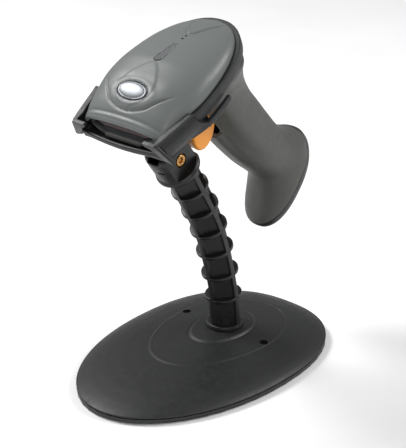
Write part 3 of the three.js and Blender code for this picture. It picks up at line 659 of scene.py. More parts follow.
# (x, y) outline of the light pipe in its own seat
PIPE_LINE = mirrored([(0, -0.8), (1.5, -0.3), (2.3, 1.2), (2.2, 3), (1.0, 15.4), (0, 16.2)])
PIPE_MIDDLE = [0, 7.5]
PIPE_ALONG, PIPE_TILT = 39.6, rad(-9.9)
BADGE_ALONG = 16.2
pipe_seat = seat(PIPE_ALONG, 14.45, PIPE_TILT)
badge_seat = seat(BADGE_ALONG, 11.6, rad(17))
SOUNDER_HOLES = (61.0, 64.1)


def shell_half(along):
    """The shell's half width: a shade narrower than the band beside the cradle's rim."""
    return plan_half(along) - 1.2 * ease(0, 14, along) * (1 - ease(16, 34, along))


def relief(x, along):
    """Height of the styling lines over the plain dome."""
    side = np.abs(x)
    # groove with a swelling behind it
    distance, share = line_distance(x, along, GROOVE)
    fade = ease(0.0, 0.16, share) * ease(0.0, 0.16, 1 - share)
    height = -0.72 * fade * bell(distance, 0.5)
    right = GROOVE[len(GROOVE) // 2:]
    behind = along - np.interp(side, right[:, 0], right[:, 1])
    height += 0.55 * fade * ease(-0.5, 1.6, behind) * (1 - ease(5.0, 17.0, behind))
    # drop-shaped pad
    half = np.interp(along, PAD_ALONG, PAD_HALF, left=-3, right=-3)
    height += 0.30 * ease(-1.0, 1.0, (half - side) * np.where(along > 25, 0.93, 1.0))
    # oval seat and collar of the badge
    oval = np.sqrt((x / 10.1) ** 2 + ((along - BADGE_ALONG) / 5.25) ** 2)
    height += 0.24 * bell((oval - 1.36) * 6.6, 1.2)
    height -= 1.35 * (1 - ease(0.985, 1.075, oval))
    height -= 0.18 * bell((oval - 1.12) * 6.6, 0.55)
    # channel of the light pipe
    y = (along - PIPE_ALONG) / np.cos(PIPE_TILT)
    distance, _ = line_distance(x, y, PIPE_LINE)
    pipe_half = np.interp(y, [-0.8, 1.2, 3, 15.4, 16.2], [0, 2.3, 2.2, 1.0, 0])
    inside = (y > -0.8) & (y < 16.2) & (side < pipe_half)
    height -= 1.5 * np.where(inside, 1.0, 1 - ease(0.05, 0.5, distance))
    height += 0.10 * bell(distance - 1.0, 0.5) * np.where(inside, 0, 1)
    # raised tail flash behind the sounder holes, in a fine groove
    flash = np.interp(along, FLASH_ALONG, FLASH_HALF, left=-2, right=9.2) - side
    height += 0.6 * ease(-0.5, 0.5, flash) * (1 - ease(80, 88, along))
    height -= (0.3 * bell(flash + 0.9, 0.45) * ease(66.0, 67.5, along)
               * (1 - ease(80, 87, along)))
    # nose: a shallow cove behind a rolled bead
    height -= 0.34 * bell(along - 2.6, 0.55) * ease(0.0, 0.12, 1 - side / NOSE_HALF)
    height += 0.30 * bell(along - 0.9, 0.8)
    return height


def shell_row(along, count, floor, inset=0.0):
    """One arched row of the dome from the +x rim to the -x rim."""
    turn = np.linspace(0, np.pi, count)
    half = np.maximum(0.8, shell_half(along) - inset)
    top = np.maximum(0.35, crest(along) - inset)
    return np.stack([half * signed_power(np.cos(turn), 2 / SHELL_POWER),
                     np.full(count, float(along)),
                     floor + (top - floor) * np.sin(turn) ** (2 / SHELL_POWER)], 1)


def shell_solid():
    columns = 201
    stations = np.concatenate([np.arange(0.0, 12, 0.42), np.arange(12, 84, 0.5),
                               84 + 4.72 * np.sin(np.linspace(0, np.pi / 2, 24))])
    floors = -2.0 * (1 - ease(0.0, 9.0, stations))
    outer = np.array([shell_row(a, columns, f) for a, f in zip(stations, floors)])
    rim_fade = np.clip(np.sin(np.linspace(0, np.pi, columns)) ** 0.5 * 1.6, 0, 1)
    height = (relief(outer[:, :, 0], outer[:, :, 1]) * rim_fade[None, :]
              * (1 - ease(86, 88.5, stations))[:, None])
    outer = outer + grid_normals(outer) * height[:, :, None]
    outer[:, 0, 2] = outer[:, -1, 2] = floors
    walls = np.interp(stations, [0, 3, 7, 86, 88.8], [2.7, 2.4, 2.1, 1.6, 0.7])
    inner = np.array([shell_row(a, columns, f, wall)
                      for a, wall, f in zip(stations, walls, floors)])
    inner[:, :, 2] = np.minimum(inner[:, :, 2], outer[:, :, 2] - 0.35)
    inner[:, 0, 2] = inner[:, -1, 2] = floors
    # rolled nose lip between the outer and inner faces
    middle = (outer[0] + inner[0]) / 2
    half = (outer[0] - inner[0]) / 2
    lip = []
    for k in range(1, 10):
        turn = np.pi * k / 10
        lip.append(middle + half * np.cos(turn) + np.array([0, -1.55, -0.35]) * np.sin(turn))
    grid = np.concatenate([outer[::-1], np.array(lip), inner])   # tail, nose, back inside
    index = np.arange(grid.shape[0] * columns).reshape(-1, columns)
    faces = []
    for k in range(len(grid) - 1):
        faces += strip(index[k], index[k + 1])
    # long rims on both sides, the lip's ends and the small tail closure
    rows = len(stations)
    for side in (0, -1):
        faces += strip(index[rows - 1::-1, side], index[-rows:, side])
        faces.append(index[rows - 1:rows + 10, side])
    faces += strip(index[0], index[-1])
    return grid.reshape(-1, 3), faces


def build_top():
    obj = add_part("top_shell_moulding", placed(shell_solid(), head), "shell_satin")
    for along in SOUNDER_HOLES:
        boolean(obj, cylinder(head(0, along, 0), [0, -HEAD_SIN, HEAD_COS], 0.8, 4, 22, 28))
    # slot for the light pipe, a little larger than its outline
    slot = np.array(PIPE_LINE[:-1])
    slot = slot + np.sign(slot - PIPE_MIDDLE) * 0.12
    slot_solid = loft([section(slot, 2, z) for z in (-6.0, 3.0)])
    boolean(obj, placed(slot_solid, pipe_seat), angle=32)
    attach(obj, "scanner", "top_shell")


def build_badge():
    # (half width, height) up the badge; its depth along is 0.52 of its width
    profile = [(9.3, 0.1), (9.62, 0.35), (9.7, 0.8), (9.62, 1.05), (9.38, 1.2), (9.1, 1.22),
               (8.9, 1.12), (8.75, 1.12), (8.55, 1.3), (8.0, 1.52), (7.2, 1.72),
               (6.2, 1.88), (5.0, 2.02), (3.6, 2.12), (2.0, 2.18), (0.6, 2.2)]
    turn = np.linspace(0, 2 * np.pi, 128, endpoint=False)
    rings = [badge_seat(r * np.cos(turn), r * 0.52 * np.sin(turn), z) for r, z in profile]
    add_part("badge_plate", loft(rings), "badge_silver", "scanner", "badge", angle=50)


def build_pipe():
    line = resample(spline(PIPE_LINE, 120)[:-1], 96)
    normal = outward(line)
    rings = []
    for inset, z in ((0.0, -5.5), (0.0, -0.15), (0.1, 0.12), (0.3, 0.28), (0.65, 0.36),
                     (1.0, 0.38)):
        limit = np.minimum(inset, np.abs(line[:, 0]) * 0.8 + 0.05)
        rings.append(section(line - normal * limit[:, None], 2, z))
    add_part("light_pipe_lens", placed(loft(rings), pipe_seat), "clear_guide", "scanner",
             "light_pipe")


def build_band():
    """The bumper band that runs round the head just under the parting plane."""
    count = 170
    outer = half_outline(lambda along: (1.0 + 0.8 * ease(20.5, 26, along)
                                        + 1.3 * ease(34, 86, along)), count)
    inner = half_outline(lambda along: -1.5, count)
    # (share of the way out, up)
    profile = [(0.0, -0.55), (0.0, -0.3), (0.55, -0.3), (0.80, -0.34), (0.93, -0.62),
               (0.985, -1.2), (1.0, -2.2), (0.99, -4.0), (0.965, -5.6), (0.92, -6.9),
               (0.85, -7.6), (0.72, -7.95), (0.5, -8.0), (0.0, -8.0), (0.0, -7.7)]
    rows = []
    for start, end in zip(inner, outer):
        width = np.linalg.norm(end - start)
        ring = []
        for share, up in profile:
            # the outer face keeps the same rounding however thick the band is
            reach = share * width if share < 0.5 else width - (1 - share) * 3.1
            ring.append((*(start + (end - start) / width * reach), up))
        rows.append(ring)
    rows = np.array(rows)
    rows[-1, :, 0] = 0
    full = np.concatenate([rows, rows[-2::-1] * (-1, 1, 1)])
    add_part("bumper_band_strip", placed(loft(full), head), "black_soft", "scanner",
             "bumper_band", angle=30)


build_top()
build_badge()
build_pipe()
build_band()

# ---------------------------------------------------------------- belly, grip and end cap
COLUMNS = 144           # points round each ring; 0 is the back, half way is the front
GRIP_POWER = 2.35
WALL = 2.3

# ring stations: front along, front up, back along, back up, half width
GRIP = [
    [39, -13, 85.6, -12.5, 28.0], [43.5, -20, 84.4, -18.5, 24.6],
    [47.5, -32, 84.2, -29.5, 20.6], [50.4, -46, 86.2, -43.3, 18.2],
    [53.6, -60, 90.0, -56.3, 17], [58.6, -75.5, 94.0, -71.0, 16.3],
    [64.8, -91.5, 98.4, -86.0, 16], [70.8, -104, 104.4, -96.4, 15.8],
    [74.3, -112.5, 111.2, -102.6, 15.8], [72.8, -118.5, 115.4, -106.6, 16],
    [67.0, -126.7, 117.2, -111.2, 16.5], [62.2, -133.2, 117.6, -114.8, 16.9],
    [59.8, -138.2, 116.6, -118.8, 16.9], [60.8, -142.0, 114.8, -121.6, 16.2],
    [62.8, -143.6, 112.4, -123.2, 15.0]]
BELLY = [
    [4.6, -8.0, 86.7, -8.0, 30.6], [4.9, -8.7, 86.6, -8.1, 30.5],
    [6.3, -9.25, 86.5, -8.25, 30.4], [10, -9.35, 86.4, -8.45, 30.3],
    [16, -9.4, 86.3, -8.7, 30.1], [22, -9.5, 86.2, -9.05, 29.8],
    [28, -9.8, 86.1, -9.6, 29.4], [33, -10.4, 85.95, -10.3, 29.0],
    [36.6, -11.5, 85.8, -11.2, 28.6]]
# (along, up) in side view: the end cap's seam, and the middle of the finger scoop
SEAM = [(36, -149.0), (60.0, -138.0), (102, -119.6), (108.0, -114.4), (110.8, -107.9),
        (111.6, -100.4), (115, -92.4), (119, -82.4)]
SCOOP = [(47, -22), (50.5, -36), (55.0, -52), (60.5, -68), (67.5, -83), (75, -96)]
CAP_DOWN = np.array([0, 0.448, -0.894])     # the way the end cap faces
SLOT = [(27, -16.5), (58.6, -16.5), (58.6, -42), (57.4, -53.5), (51, -60.2), (30, -60.2)]


def grip_ring(front, front_up, back, back_up, half):
    centre = np.array([(front + back) / 2, (front_up + back_up) / 2])
    length = math.hypot(back - front, back_up - front_up)
    way = np.array([(back - front) / length, (back_up - front_up) / length])
    turn = np.linspace(0, 2 * np.pi, 721)[:-1]
    ring = np.stack([half * signed_power(np.sin(turn), 2 / GRIP_POWER),
                     length / 2 * signed_power(np.cos(turn), 2 / GRIP_POWER)], 1)
    ring = resample(ring, COLUMNS)
    return np.stack([ring[:, 0], centre[0] + way[0] * ring[:, 1],
                     centre[1] + way[1] * ring[:, 1]], 1)


def belly_ring(front, front_up, back, back_up, half):
    """The head outline drawn in, cut off straight at the front."""
    side_offset, tail_offset = -(HEAD_HALF - half), -(HEAD_LEN - back)
    line = half_outline(
        lambda along: side_offset + (tail_offset - side_offset) * tail_share(along), 240)
    line = line[::-1]
    line = line[line[:, 1] >= front]
    straight = np.stack([np.linspace(line[-1, 0], 0, 60)[1:], np.full(59, front)], 1)
    line = resample(np.vstack([line, straight]), COLUMNS // 2 + 1, closed=False)
    line[0, 0] = line[-1, 0] = 0
    ring = np.vstack([line, line[-2:0:-1] * (-1, 1)])
    share = np.clip((ring[:, 1] - front) / (back - front), 0, 1)
    return section(ring, 2, front_up + (back_up - front_up) * share)


def station_rings():
    """Rings from the band to the foot; the belly turns gradually into the grip."""
    rings = []
    for k, station in enumerate(BELLY):
        blend = ease(4.4, 8.4, k)
        rings.append(belly_ring(*station) * (1 - blend) + grip_ring(*station) * blend)
    return np.array(rings + [grip_ring(*station) for station in GRIP])


def below_seam(along, up):
    """Signed distance to the end cap's seam in the side view: positive under it."""
    line = spline(SEAM, 200)
    distance, _ = line_distance(along, up, line)
    near = np.argmin(np.hypot(along[..., None] - line[:, 0], up[..., None] - line[:, 1]),
                     axis=-1)
    near = np.clip(near, 1, len(line) - 2)
    way = line[near + 1] - line[near - 1]
    cross = (way[..., 0] * (up - line[near][..., 1])
             - way[..., 1] * (along - line[near][..., 0]))
    return np.where(cross < 0, distance, -distance)


def sculpt(grid, normals):
    """Presses the finger scoop into both flanks."""
    side = np.abs(grid[..., 0])
    distance, share = line_distance(grid[..., 1], grid[..., 2], spline(SCOOP, 60))
    flank = ease(4.0, 9.0, side) * (1 - 0.35 * ease(15.5, 20, side))
    width = np.interp(share, [0, 0.25, 0.6, 1], [2.8, 3.5, 4.3, 3.8])
    depth = np.interp(share, [0, 0.15, 0.4, 0.75, 1], [0.8, 2.5, 2.9, 1.8, 0.0])
    return grid + normals * (-depth * bell(distance, width) * flank)[..., None]


def handle_grids():
    """Rows of the grip moulding down to the seam, and of the end cap below it."""
    rings = station_rings()
    belly = len(BELLY)
    # the belly is sampled more coarsely than the grip
    upper = spline(rings[:belly + 3], (belly + 2) * 5 + 1)[:belly * 5 + 1]
    lower = spline(rings, (len(rings) - 1) * 9 + 1)[belly * 9 + 1:]
    grid = np.concatenate([upper, lower])
    grid = sculpt(grid, -grid_normals(grid, wrap=True))
    grid = np.concatenate([[grid[0] + (0, 0, 7.1), grid[0] + (0, 0, 3.5)], grid])
    last = len(grid) - 1
    every = np.arange(COLUMNS)
    # the fractional row where each column meets the seam
    depth = below_seam(grid[..., 1], grid[..., 2])
    under = (grid[..., 2] < -70) & (depth > 0)
    under[:40] = False
    first = under.argmax(axis=0)
    above, beneath = depth[first - 1, every], depth[first, every]
    seam_row = np.where(under.any(axis=0), first - 1 + (0 - above) / (beneath - above),
                        float(last))

    def row_at(place):
        place = np.clip(place, 0, last - 0.001)
        i = place.astype(int)
        f = (place - i)[:, None]
        return grid[i, every] * (1 - f) + grid[i + 1, every] * f

    grip = np.array([row_at(t * seam_row) for t in np.linspace(0, 1, 150)])
    cap = np.array([row_at(seam_row + t * (last - seam_row)) for t in np.linspace(0, 1, 34)])
    return grip, cap


def draw_in(ring, centre, amount):
    return ring - unit(ring - centre) * amount


def build_grip(grid):
    inner = np.array([draw_in(ring, ring.mean(axis=0), WALL) for ring in grid])
    lift = np.interp(np.arange(len(grid)), [0, 2, 14, 40, len(grid)], [0, 0, 1.8, 0.2, 0])
    inner[:, :, 2] += lift[:, None]
    solid = loft(np.concatenate([grid, inner[::-1]]), looped=True)
    obj = add_part("grip_moulding", placed(solid, head), "handle_satin", angle=40)
    slot = round_poly(SLOT, [1, 3, 3, 5, 4, 1], 8)
    slot_solid = loft([section(slot, 0, x) for x in (-7.5, 7.5)])
    boolean(obj, placed(slot_solid, head), angle=40)
    attach(obj, "scanner", "handle_shell")


def build_end_cap(grid):
    centre = grid[0].mean(axis=0)
    grid[:2] += CAP_DOWN * 0.28         # a fine shadow gap under the grip
    last = grid[-1]
    # (share of the way to the middle, drop) of the rings that close the underside
    under = [last + (last.mean(axis=0) - last) * share + CAP_DOWN * drop for share, drop in
             ((0.05, 0.25), (0.12, 0.4), (0.3, 0.45), (0.6, 0.45), (0.9, 0.45))]
    rings = np.concatenate([[draw_in(grid[0], centre, WALL)],
                            [draw_in(grid[0], centre, 0.45)], grid[1:], np.array(under)])
    obj = add_part("grip_end_cap_moulding", placed(loft(rings), head), "black_plastic",
                   angle=40)
    # rounded square opening, and a stepped screw hole in front of it
    tilt = rad(26.6)
    cap_seat = seat(86.6, -131.0, tilt)
    square = round_poly([(-6.9, -6.1), (6.9, -6.1), (6.9, 6.1), (-6.9, 6.1)], 1.2, 6)
    boolean(obj, placed(loft([section(square, 2, z) for z in (-8, 26)]), cap_seat))
    axis = head(0, -math.sin(tilt), math.cos(tilt)) - head(0, 0, 0)
    boolean(obj, turned(cap_seat(0.0, -15.0, 0.0), axis,
                        [(2.9, -8), (2.9, 1.4), (1.6, 1.45), (1.6, 26)], 40))
    attach(obj, "scanner", "grip_end_cap")


grip_grid, cap_grid = handle_grids()
build_grip(grip_grid)
build_end_cap(cap_grid)

# ---------------------------------------------------------------- trigger
# (along, up) side view of the blade, from the top down the front and up the back
TRIGGER = [[45, -21], [41, -28], [37.6, -36], [35.9, -44], [36.1, -49], [37.6, -53.4],
           [40.4, -56], [44.4, -56.8], [50.2, -55], [54, -50.5], [56.4, -45],
           [58.2, -41.5], [58.2, -37], [56.2, -29], [55.8, -23.5], [54.4, -20.6],
           [52, -19.8], [48, -19.6]]
TRIGGER_HALF, TRIGGER_ROUND = 6.6, 1.7
SPRING_UP, SPRING_RADIUS, SPRING_WIRE, SPRING_TURNS = -49, 2.6, 0.38, 5.5


def build_trigger():
    loop = resample(spline(np.array(TRIGGER + [TRIGGER[0]]), 266)[:-1], 150)
    normal = outward(loop)
    # only the finger side, facing forward, is dished
    front = (np.clip(-normal[:, 0], 0, 1) * ease(-57.5, -50, loop[:, 1])
             * (1 - ease(-30, -22, loop[:, 1])))
    low = ease(0.0, 14.0, -42.0 - loop[:, 1])
    loop = loop + np.stack([-0.9 * low, 2.4 * low], 1)
    flat = TRIGGER_HALF - TRIGGER_ROUND
    turn = np.linspace(0, np.pi / 2, 7)
    places = np.concatenate([-flat - TRIGGER_ROUND * np.cos(turn),
                             np.linspace(-flat, flat, 15)[1:-1],
                             flat + TRIGGER_ROUND * np.sin(turn)])
    rings = []
    for x in places:
        over = max(0.0, abs(x) - flat)
        inset = TRIGGER_ROUND - math.sqrt(max(0.0, TRIGGER_ROUND ** 2 - over * over))
        dish = 1.25 * max(0.0, 1 - (x / 5.0) ** 2) ** 1.2
        rings.append(section(loop - normal * (inset + dish * front)[:, None], 0, x))
    obj = add_part("trigger_blade", placed(loft(rings), head), "trigger_orange", angle=45)
    boolean(obj, cylinder(head(0, 52.5, -23.5), ACROSS, 1.8, -12, 12, 40), angle=45)
    attach(obj, "trigger", "trigger")


def build_spring():
    """Return spring between trigger and frame."""
    turn = np.linspace(0, 2 * np.pi * SPRING_TURNS, 265)
    centre = np.stack([SPRING_RADIUS * np.cos(turn), 57.4 + 7.9 * turn / turn[-1],
                       SPRING_UP + SPRING_RADIUS * np.sin(turn)], 1)
    tangent = unit(np.gradient(centre, axis=0))
    out = np.stack([np.cos(turn), np.zeros_like(turn), np.sin(turn)], 1)
    out = unit(out - tangent * (out * tangent).sum(1, keepdims=True))
    other = np.cross(tangent, out)
    wire = np.linspace(0, 2 * np.pi, 13)[:-1]
    rings = [centre[i] + SPRING_WIRE * (np.outer(np.cos(wire), out[i])
                                        + np.outer(np.sin(wire), other[i]))
             for i in range(len(turn))]
    obj = add_part("trigger_spring_coil", placed(loft(rings), head), "steel", angle=60)
    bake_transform(obj)
    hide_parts("trigger_spring")


build_trigger()
build_spring()

# ---------------------------------------------------------------- nose
NOSE_LEAN = 0.485       # the mouth leans back by this much per unit of height


def lean(solid):
    return placed(solid, lambda x, along, up: head(x, along + NOSE_LEAN * up, up))


def mouth(half, top, side, drop, low_half, low):
    """(x, up) of the mouth: arched top, short sides, slanted cheeks to a narrower sill."""
    x = half * np.cos(np.linspace(0, np.pi, 41))
    arch = np.sqrt(np.maximum(0, 1 - (x / half) ** 2)) ** 1.3
    points = list(zip(x, side + (top - side) * arch))
    points += [(-half, side - drop), (-low_half, low), (low_half, low), (half, side - drop)]
    return resample(round_poly(points, [0.0] * len(x) + [0.8, 1.2, 1.2, 0.8], 6), 200)


def build_bezel():
    outer = mouth(half=24.7, top=2.3, side=-1.4, drop=1.8, low_half=14.0, low=-8.5)
    inner = mouth(half=21.4, top=0.5, side=-1.5, drop=0.9, low_half=10.2, low=-5.5)
    # (share of the way from outer to inner outline, along)
    profile = ((0, 4.0), (0, 1.3), (0.08, 0.85), (0.25, 0.6), (0.6, 0.62), (0.85, 0.9),
               (1.0, 1.4), (1.08, 2.15), (1.08, 4.0))
    rings = [section(outer * (1 - share) + inner * share, 1, along)
             for share, along in profile]
    add_part("nose_bezel_frame", lean(loft(rings, looped=True)), "bezel_grey", "scanner",
             "nose_bezel", angle=35)


def build_slats():
    """Fine slats across the foot of the mouth, each higher and further back."""
    slats = []
    for k, (half, up) in enumerate(((10.6, -5.3), (12.8, -4.75), (14.8, -4.2))):
        along = 1.1 + 0.28 * k
        line = [(along, up), (along + 0.9, up + 0.12), (along + 0.9, up + 0.42),
                (along, up + 0.3)]
        slats.append(lean(loft([section(line, 0, x) for x in (-half, half)])))
    add_part("mouth_slats", merge(*slats), "bezel_grey", "scanner",
             angle=30)


def build_lower_lip():
    """A rounded bar on the belly below the mouth."""
    half, back = 14.4, 0.7
    line = round_poly([(-0.3, -8.1), (-0.8, -7.0), (-0.4, -5.9), (0.9, -5.7), (0.9, -8.3)],
                      [0.8, 1.4, 0.7, 0.2, 0.2], 6)
    rings = []
    for x in np.linspace(-half, half, 49):
        taper = max(0.08, float(ease(0.0, 2.4, half - abs(x))) ** 0.6)
        ring = line.copy()
        ring[:, 0] = np.where(ring[:, 0] < back, back + (ring[:, 0] - back) * taper,
                              ring[:, 0])
        ring[:, 0] += 0.6
        rings.append(section(ring, 0, x))
    add_part("nose_lower_lip", lean(loft(rings)), "handle_satin", "scanner", angle=40)


build_bezel()
build_slats()
build_lower_lip()

# ---------------------------------------------------------------- cradle
CRADLE_TOP, CRADLE_LEDGE, CRADLE_FOOT = 1.9, -8.9, -12.35
CRADLE_MIN = 28.6       # least half width between the walls
TONGUE_HALF, TONGUE_RADIUS = 3.4, 4.5


def cradle_side(side):
    """One side wall with its flat rim and barrel-shaped flank."""
    places = np.concatenate([np.linspace(-6.4, -3.0, 12), np.linspace(-2.2, 19.6, 26),
                             np.linspace(20.2, 26.6, 26)])
    rings = []
    for along in places:
        behind_nose = max(along, 0.0)
        lip = max(28.3, float(shell_half(behind_nose)) + 0.45)
        wall = (max(float(plan_half(behind_nose)), CRADLE_MIN) + 0.85
                + 0.8 * float(ease(19, 21.5, along)))
        out = float(np.interp(along, [-7.6, 0, 8, 16, 20.3, 30],
                              [30.6, 32.2, 33.6, 34.9, 35.9, 37.6]))
        pinch = 1 - float(ease(-5.6, -4.6, along))      # dark line behind the front frame
        rim = float(np.interp(along, [20.1, 20.6, 21.3, 22.2, 23.6, 25.0, 26.0, 26.6],
                              [1.9, 0.6, -2.2, -4.6, -6.9, -8.1, -8.6, -8.74]))
        squash = max(0.014, (rim - CRADLE_LEDGE) / (CRADLE_TOP - CRADLE_LEDGE))
        bow = float(np.interp(along, [-5, 2, 14, 20], [1.5, 1.5, 1.2, 0.9]))
        least = wall + 0.5
        # x, up and corner radius
        corners = [
            (lip, 1.9, 0.35), (out, 1.9, 0.5), (out, 0.9, 0.2), (out - 0.6, 0.45, 0.25),
            (max(least, out + 0.1 - 0.8 * pinch), -0.7, 1.1),
            (max(least, out + bow * 0.8 - 1.5 * pinch), -2.8, 1.6),
            (max(least, out + bow - 1.8 * pinch), -5.0, 2.0),
            (max(least, out + bow * 0.85 - 1.8 * pinch), -7.4, 2.0),
            (max(least, out + bow * 0.3 - 1.3 * pinch), -9.6, 1.6),
            (max(least, out - 0.6 - 0.8 * pinch), -11.4, 1.0),
            (max(least - 0.4, out - 1.7), -12.4, 0.5), (wall - 1.2, -12.4, 0.2),
            (wall - 1.2, -10.0, 0.6), (wall, -8.95, 0.4), (wall, -0.15, 0.25),
            (lip, 0.75, 0.2)]
        points = [(x, CRADLE_LEDGE + (up - CRADLE_LEDGE) * squash if up > CRADLE_LEDGE else up)
                  for x, up, _ in corners]
        line = round_poly(points, [radius for *_, radius in corners], 4)
        shift = (CRADLE_TOP - line[:, 1]) * 0.21 * (1 - float(ease(-6.5, 2.0, along)))
        rings.append(section(line * (side, 1), 1, along + shift))
    return loft(rings)


def cradle_finger(side):
    """The finger that runs back along the band."""
    places = np.concatenate([np.linspace(15.5, 47.2, 46),
                             48.7 - 1.5 * np.cos(np.linspace(0, np.pi / 2, 8))[1:]])
    rings = []
    for along in places:
        inner = float(plan_half(along)) + 2.25
        if along < 26:
            outer = float(np.interp(along, [15.5, 19.0, 23.0, 26], [34.6, 35.7, 37.2, 37.7]))
        else:
            outer = inner + float(np.interp(along, [26, 34, 49], [2.6, 2.7, 2.5]))
        inner = min(inner, outer - 1.2)
        line = round_poly([(inner, -8.85), (outer - 0.2, -8.95), (outer, -12.0),
                           (inner + 0.2, -12.2)], [0.35, 0.5, 0.7, 0.4], 6)
        tip = max(0.0, (along - 47.2) / 1.5)
        if tip > 0:
            middle = np.array([(inner + outer) / 2, -10.6])
            line = middle + (line - middle) * max(0.12, math.sqrt(1 - tip * tip)) ** 0.6
        rings.append(section(line * (side, 1), 1, along))
    return loft(rings)


def cradle_frame(side):
    """The flat front frame of one side: lip stub, corner and long pointed toe."""
    line = round_poly([(21.4, 1.95), (30.0, 1.95), (31.1, 0.6), (36.4, -12.2), (35.2, -12.6),
                       (30.6, -10.9), (28.0, -6.9), (25.2, -2.6), (21.2, -0.1)],
                      [0.5, 1.2, 1.0, 0.45, 0.5, 1.5, 2.5, 2.0, 0.5], 6)
    centre = line.mean(axis=0)
    rings = []
    # depth behind the front face, and how far the outline shrinks there
    for depth, shrink in ((0.0, 0.34), (0.1, 0.1), (0.34, 0.0), (2.1, 0.0), (2.25, 0.2)):
        ring = centre + (line - centre) * (1 - shrink / 9.0)
        along = -7.75 + depth + (1.95 - ring[:, 1]) * 0.205
        rings.append(section(ring * (side, 1), 1, along))
    return loft(rings)


def cradle_bar():
    """The bowed front bar under the nose."""
    half = 32.2
    rings = []
    for x in np.linspace(-half, half, 81):
        share = abs(x) / half
        front = -8.35 + 3.3 * share ** 1.8
        top = -6.1 - 0.9 * share ** 2
        line = round_poly([(front, top - 2.2), (front + 0.35, top - 0.35), (front + 0.85, top),
                           (front + 1.7, top), (front + 2.2, top - 0.5),
                           (front + 4.0, CRADLE_FOOT), (front + 3.2, CRADLE_FOOT),
                           (front + 1.9, -11.3)],
                          [0.9, 0.4, 0.3, 0.3, 0.4, 0.3, 0.6, 1.0], 6)
        rings.append(section(line, 0, x))
    return loft(rings)


def cradle_floor():
    right = [(max(float(plan_half(max(a, 0))), CRADLE_MIN) + 1.2, a)
             for a in np.linspace(-4.3, 20, 18)]
    right += [(36.0, 24.0), (36.2, 29.0), (30.0, 33.0)]
    outline = np.array(right + [(-x, a) for x, a in reversed(right)])[::-1]
    return loft([section(outline, 2, up) for up in (CRADLE_FOOT, -9.85)])


def cradle_stem():
    # half width, reach forward and back of the tilt axis, corner radius, up
    stations = [(8.0, -11.5, 11.0, 2.4, -10.8), (8.0, -10.2, 10.2, 2.4, -12.6),
                (8.0, -8.6, 8.8, 2.2, -15.5), (8.0, -7.2, 7.3, 2.0, -19.5),
                (8.0, -6.0, 6.2, 1.8, -24.0), (8.0, -5.5, 5.7, 1.6, -26.6),
                (7.7, -5.3, 5.5, 1.5, -27.15)]
    stations = np.array(stations) + (0, TILT_ALONG, TILT_ALONG, 0, 0)
    rings = []
    for half, front, back, radius, up in spline(stations, (len(stations) - 1) * 5 + 1):
        corners = [(half, front), (half, back), (-half, back), (-half, front)]
        rings.append(section(round_poly(corners, radius, 10), 2, up))
    return loft(rings)


def cradle_tongue():
    """The tongue below the stem, rounded about the tilt axis."""
    line = [(TILT_ALONG + TONGUE_RADIUS * math.cos(a), TILT_UP - TONGUE_RADIUS * math.sin(a))
            for a in np.linspace(0, np.pi, 30)]
    line = np.array([(TILT_ALONG + TONGUE_RADIUS, -21.0)] + line
                    + [(TILT_ALONG - TONGUE_RADIUS, -21.0)])
    along, up = line.T
    rings = []
    for x, size in ((-TONGUE_HALF, 0.94), (-3.15, 1.0), (3.15, 1.0), (TONGUE_HALF, 0.94)):
        ring = np.stack([TILT_ALONG + (along - TILT_ALONG) * size,
                         np.where(up < TILT_UP, TILT_UP + (up - TILT_UP) * size, up)], 1)
        rings.append(section(ring, 0, x))
    return loft(rings)


def build_cradle():
    parts = [make(side) for side in (1, -1)
             for make in (cradle_side, cradle_finger, cradle_frame)]
    parts += [cradle_bar(), cradle_floor(), cradle_stem(), cradle_tongue()]
    obj = add_tool(placed(parts[0], head))
    obj.data.materials.append(MATS["cradle_black"])
    for part in parts[1:]:
        boolean(obj, placed(part, head), "UNION", angle=32)
    # window in the floor in front of the stem, and the tilt screw's bore
    hole = round_poly([(-13, 2.8), (13, 2.8), (13, 9.2), (-13, 9.2)], 2.2, 6)
    hole_solid = loft([section(hole, 2, up) for up in (-14.0, -8.0)])
    boolean(obj, placed(hole_solid, head), angle=32)
    boolean(obj, cylinder(head(0, TILT_ALONG, TILT_UP), ACROSS, TILT_BORE, -12, 12, 40),
            angle=32)
    obj.name = "cradle_moulding"
    obj.data.name = "cradle_moulding"
    attach(obj, "cradle", "cradle")


build_cradle()

# ---------------------------------------------------------------- goose-neck
# (y, z) of the seven flange stations up the neck
STATIONS = np.array([[14.8, 16.7], [13.2, 35.8], [9.7, 52.9], [4.8, 69.8], [-0.9, 85.7],
                     [-8.8, 101.3], [-17.6, 116.2]])
CHAIN = spline(np.vstack([[[15.0, 0.0]], STATIONS, [[-26.4, 131.0]]]), 801)
RIDGE, RIDGE_HALF = 10.8, 1.6       # reach and half width of the core's ridges


def chain_index(point):
    """The nearest sample of the neck's centre line."""
    return int(np.clip(np.argmin(np.hypot(*(CHAIN - point).T)), 2, len(CHAIN) - 3))


def chain_frame(k):
    """Centre, axis and the neck's normal in the y-z plane at a sample."""
    y, z = unit(CHAIN[min(k + 2, len(CHAIN) - 1)] - CHAIN[max(k - 2, 0)])
    return np.array([0, *CHAIN[k]]), np.array([0, y, z]), np.array([0, z, -y])


def core_section():
    """Square core on its corner: four ridges with sunk faces between them."""
    points, radii = [], []
    for quarter in range(4):
        turn, following = quarter * np.pi / 2, (quarter + 1) * np.pi / 2
        out = np.array([math.cos(turn), math.sin(turn)])
        side = np.array([-math.sin(turn), math.cos(turn)])
        next_out = np.array([math.cos(following), math.sin(following)])
        next_side = np.array([-math.sin(following), math.cos(following)])
        sink = (out + next_out) / math.sqrt(2) * 0.35
        points += [out * RIDGE - side * RIDGE_HALF, out * RIDGE + side * RIDGE_HALF,
                   out * (RIDGE - 1.3) + side * (RIDGE_HALF + 0.3) - sink,
                   next_out * (RIDGE - 1.3) - next_side * (RIDGE_HALF + 0.3) - sink]
        radii += [0.35, 0.35, 0.3, 0.3]
    return round_poly(points, radii, 4)


CORE = core_section()


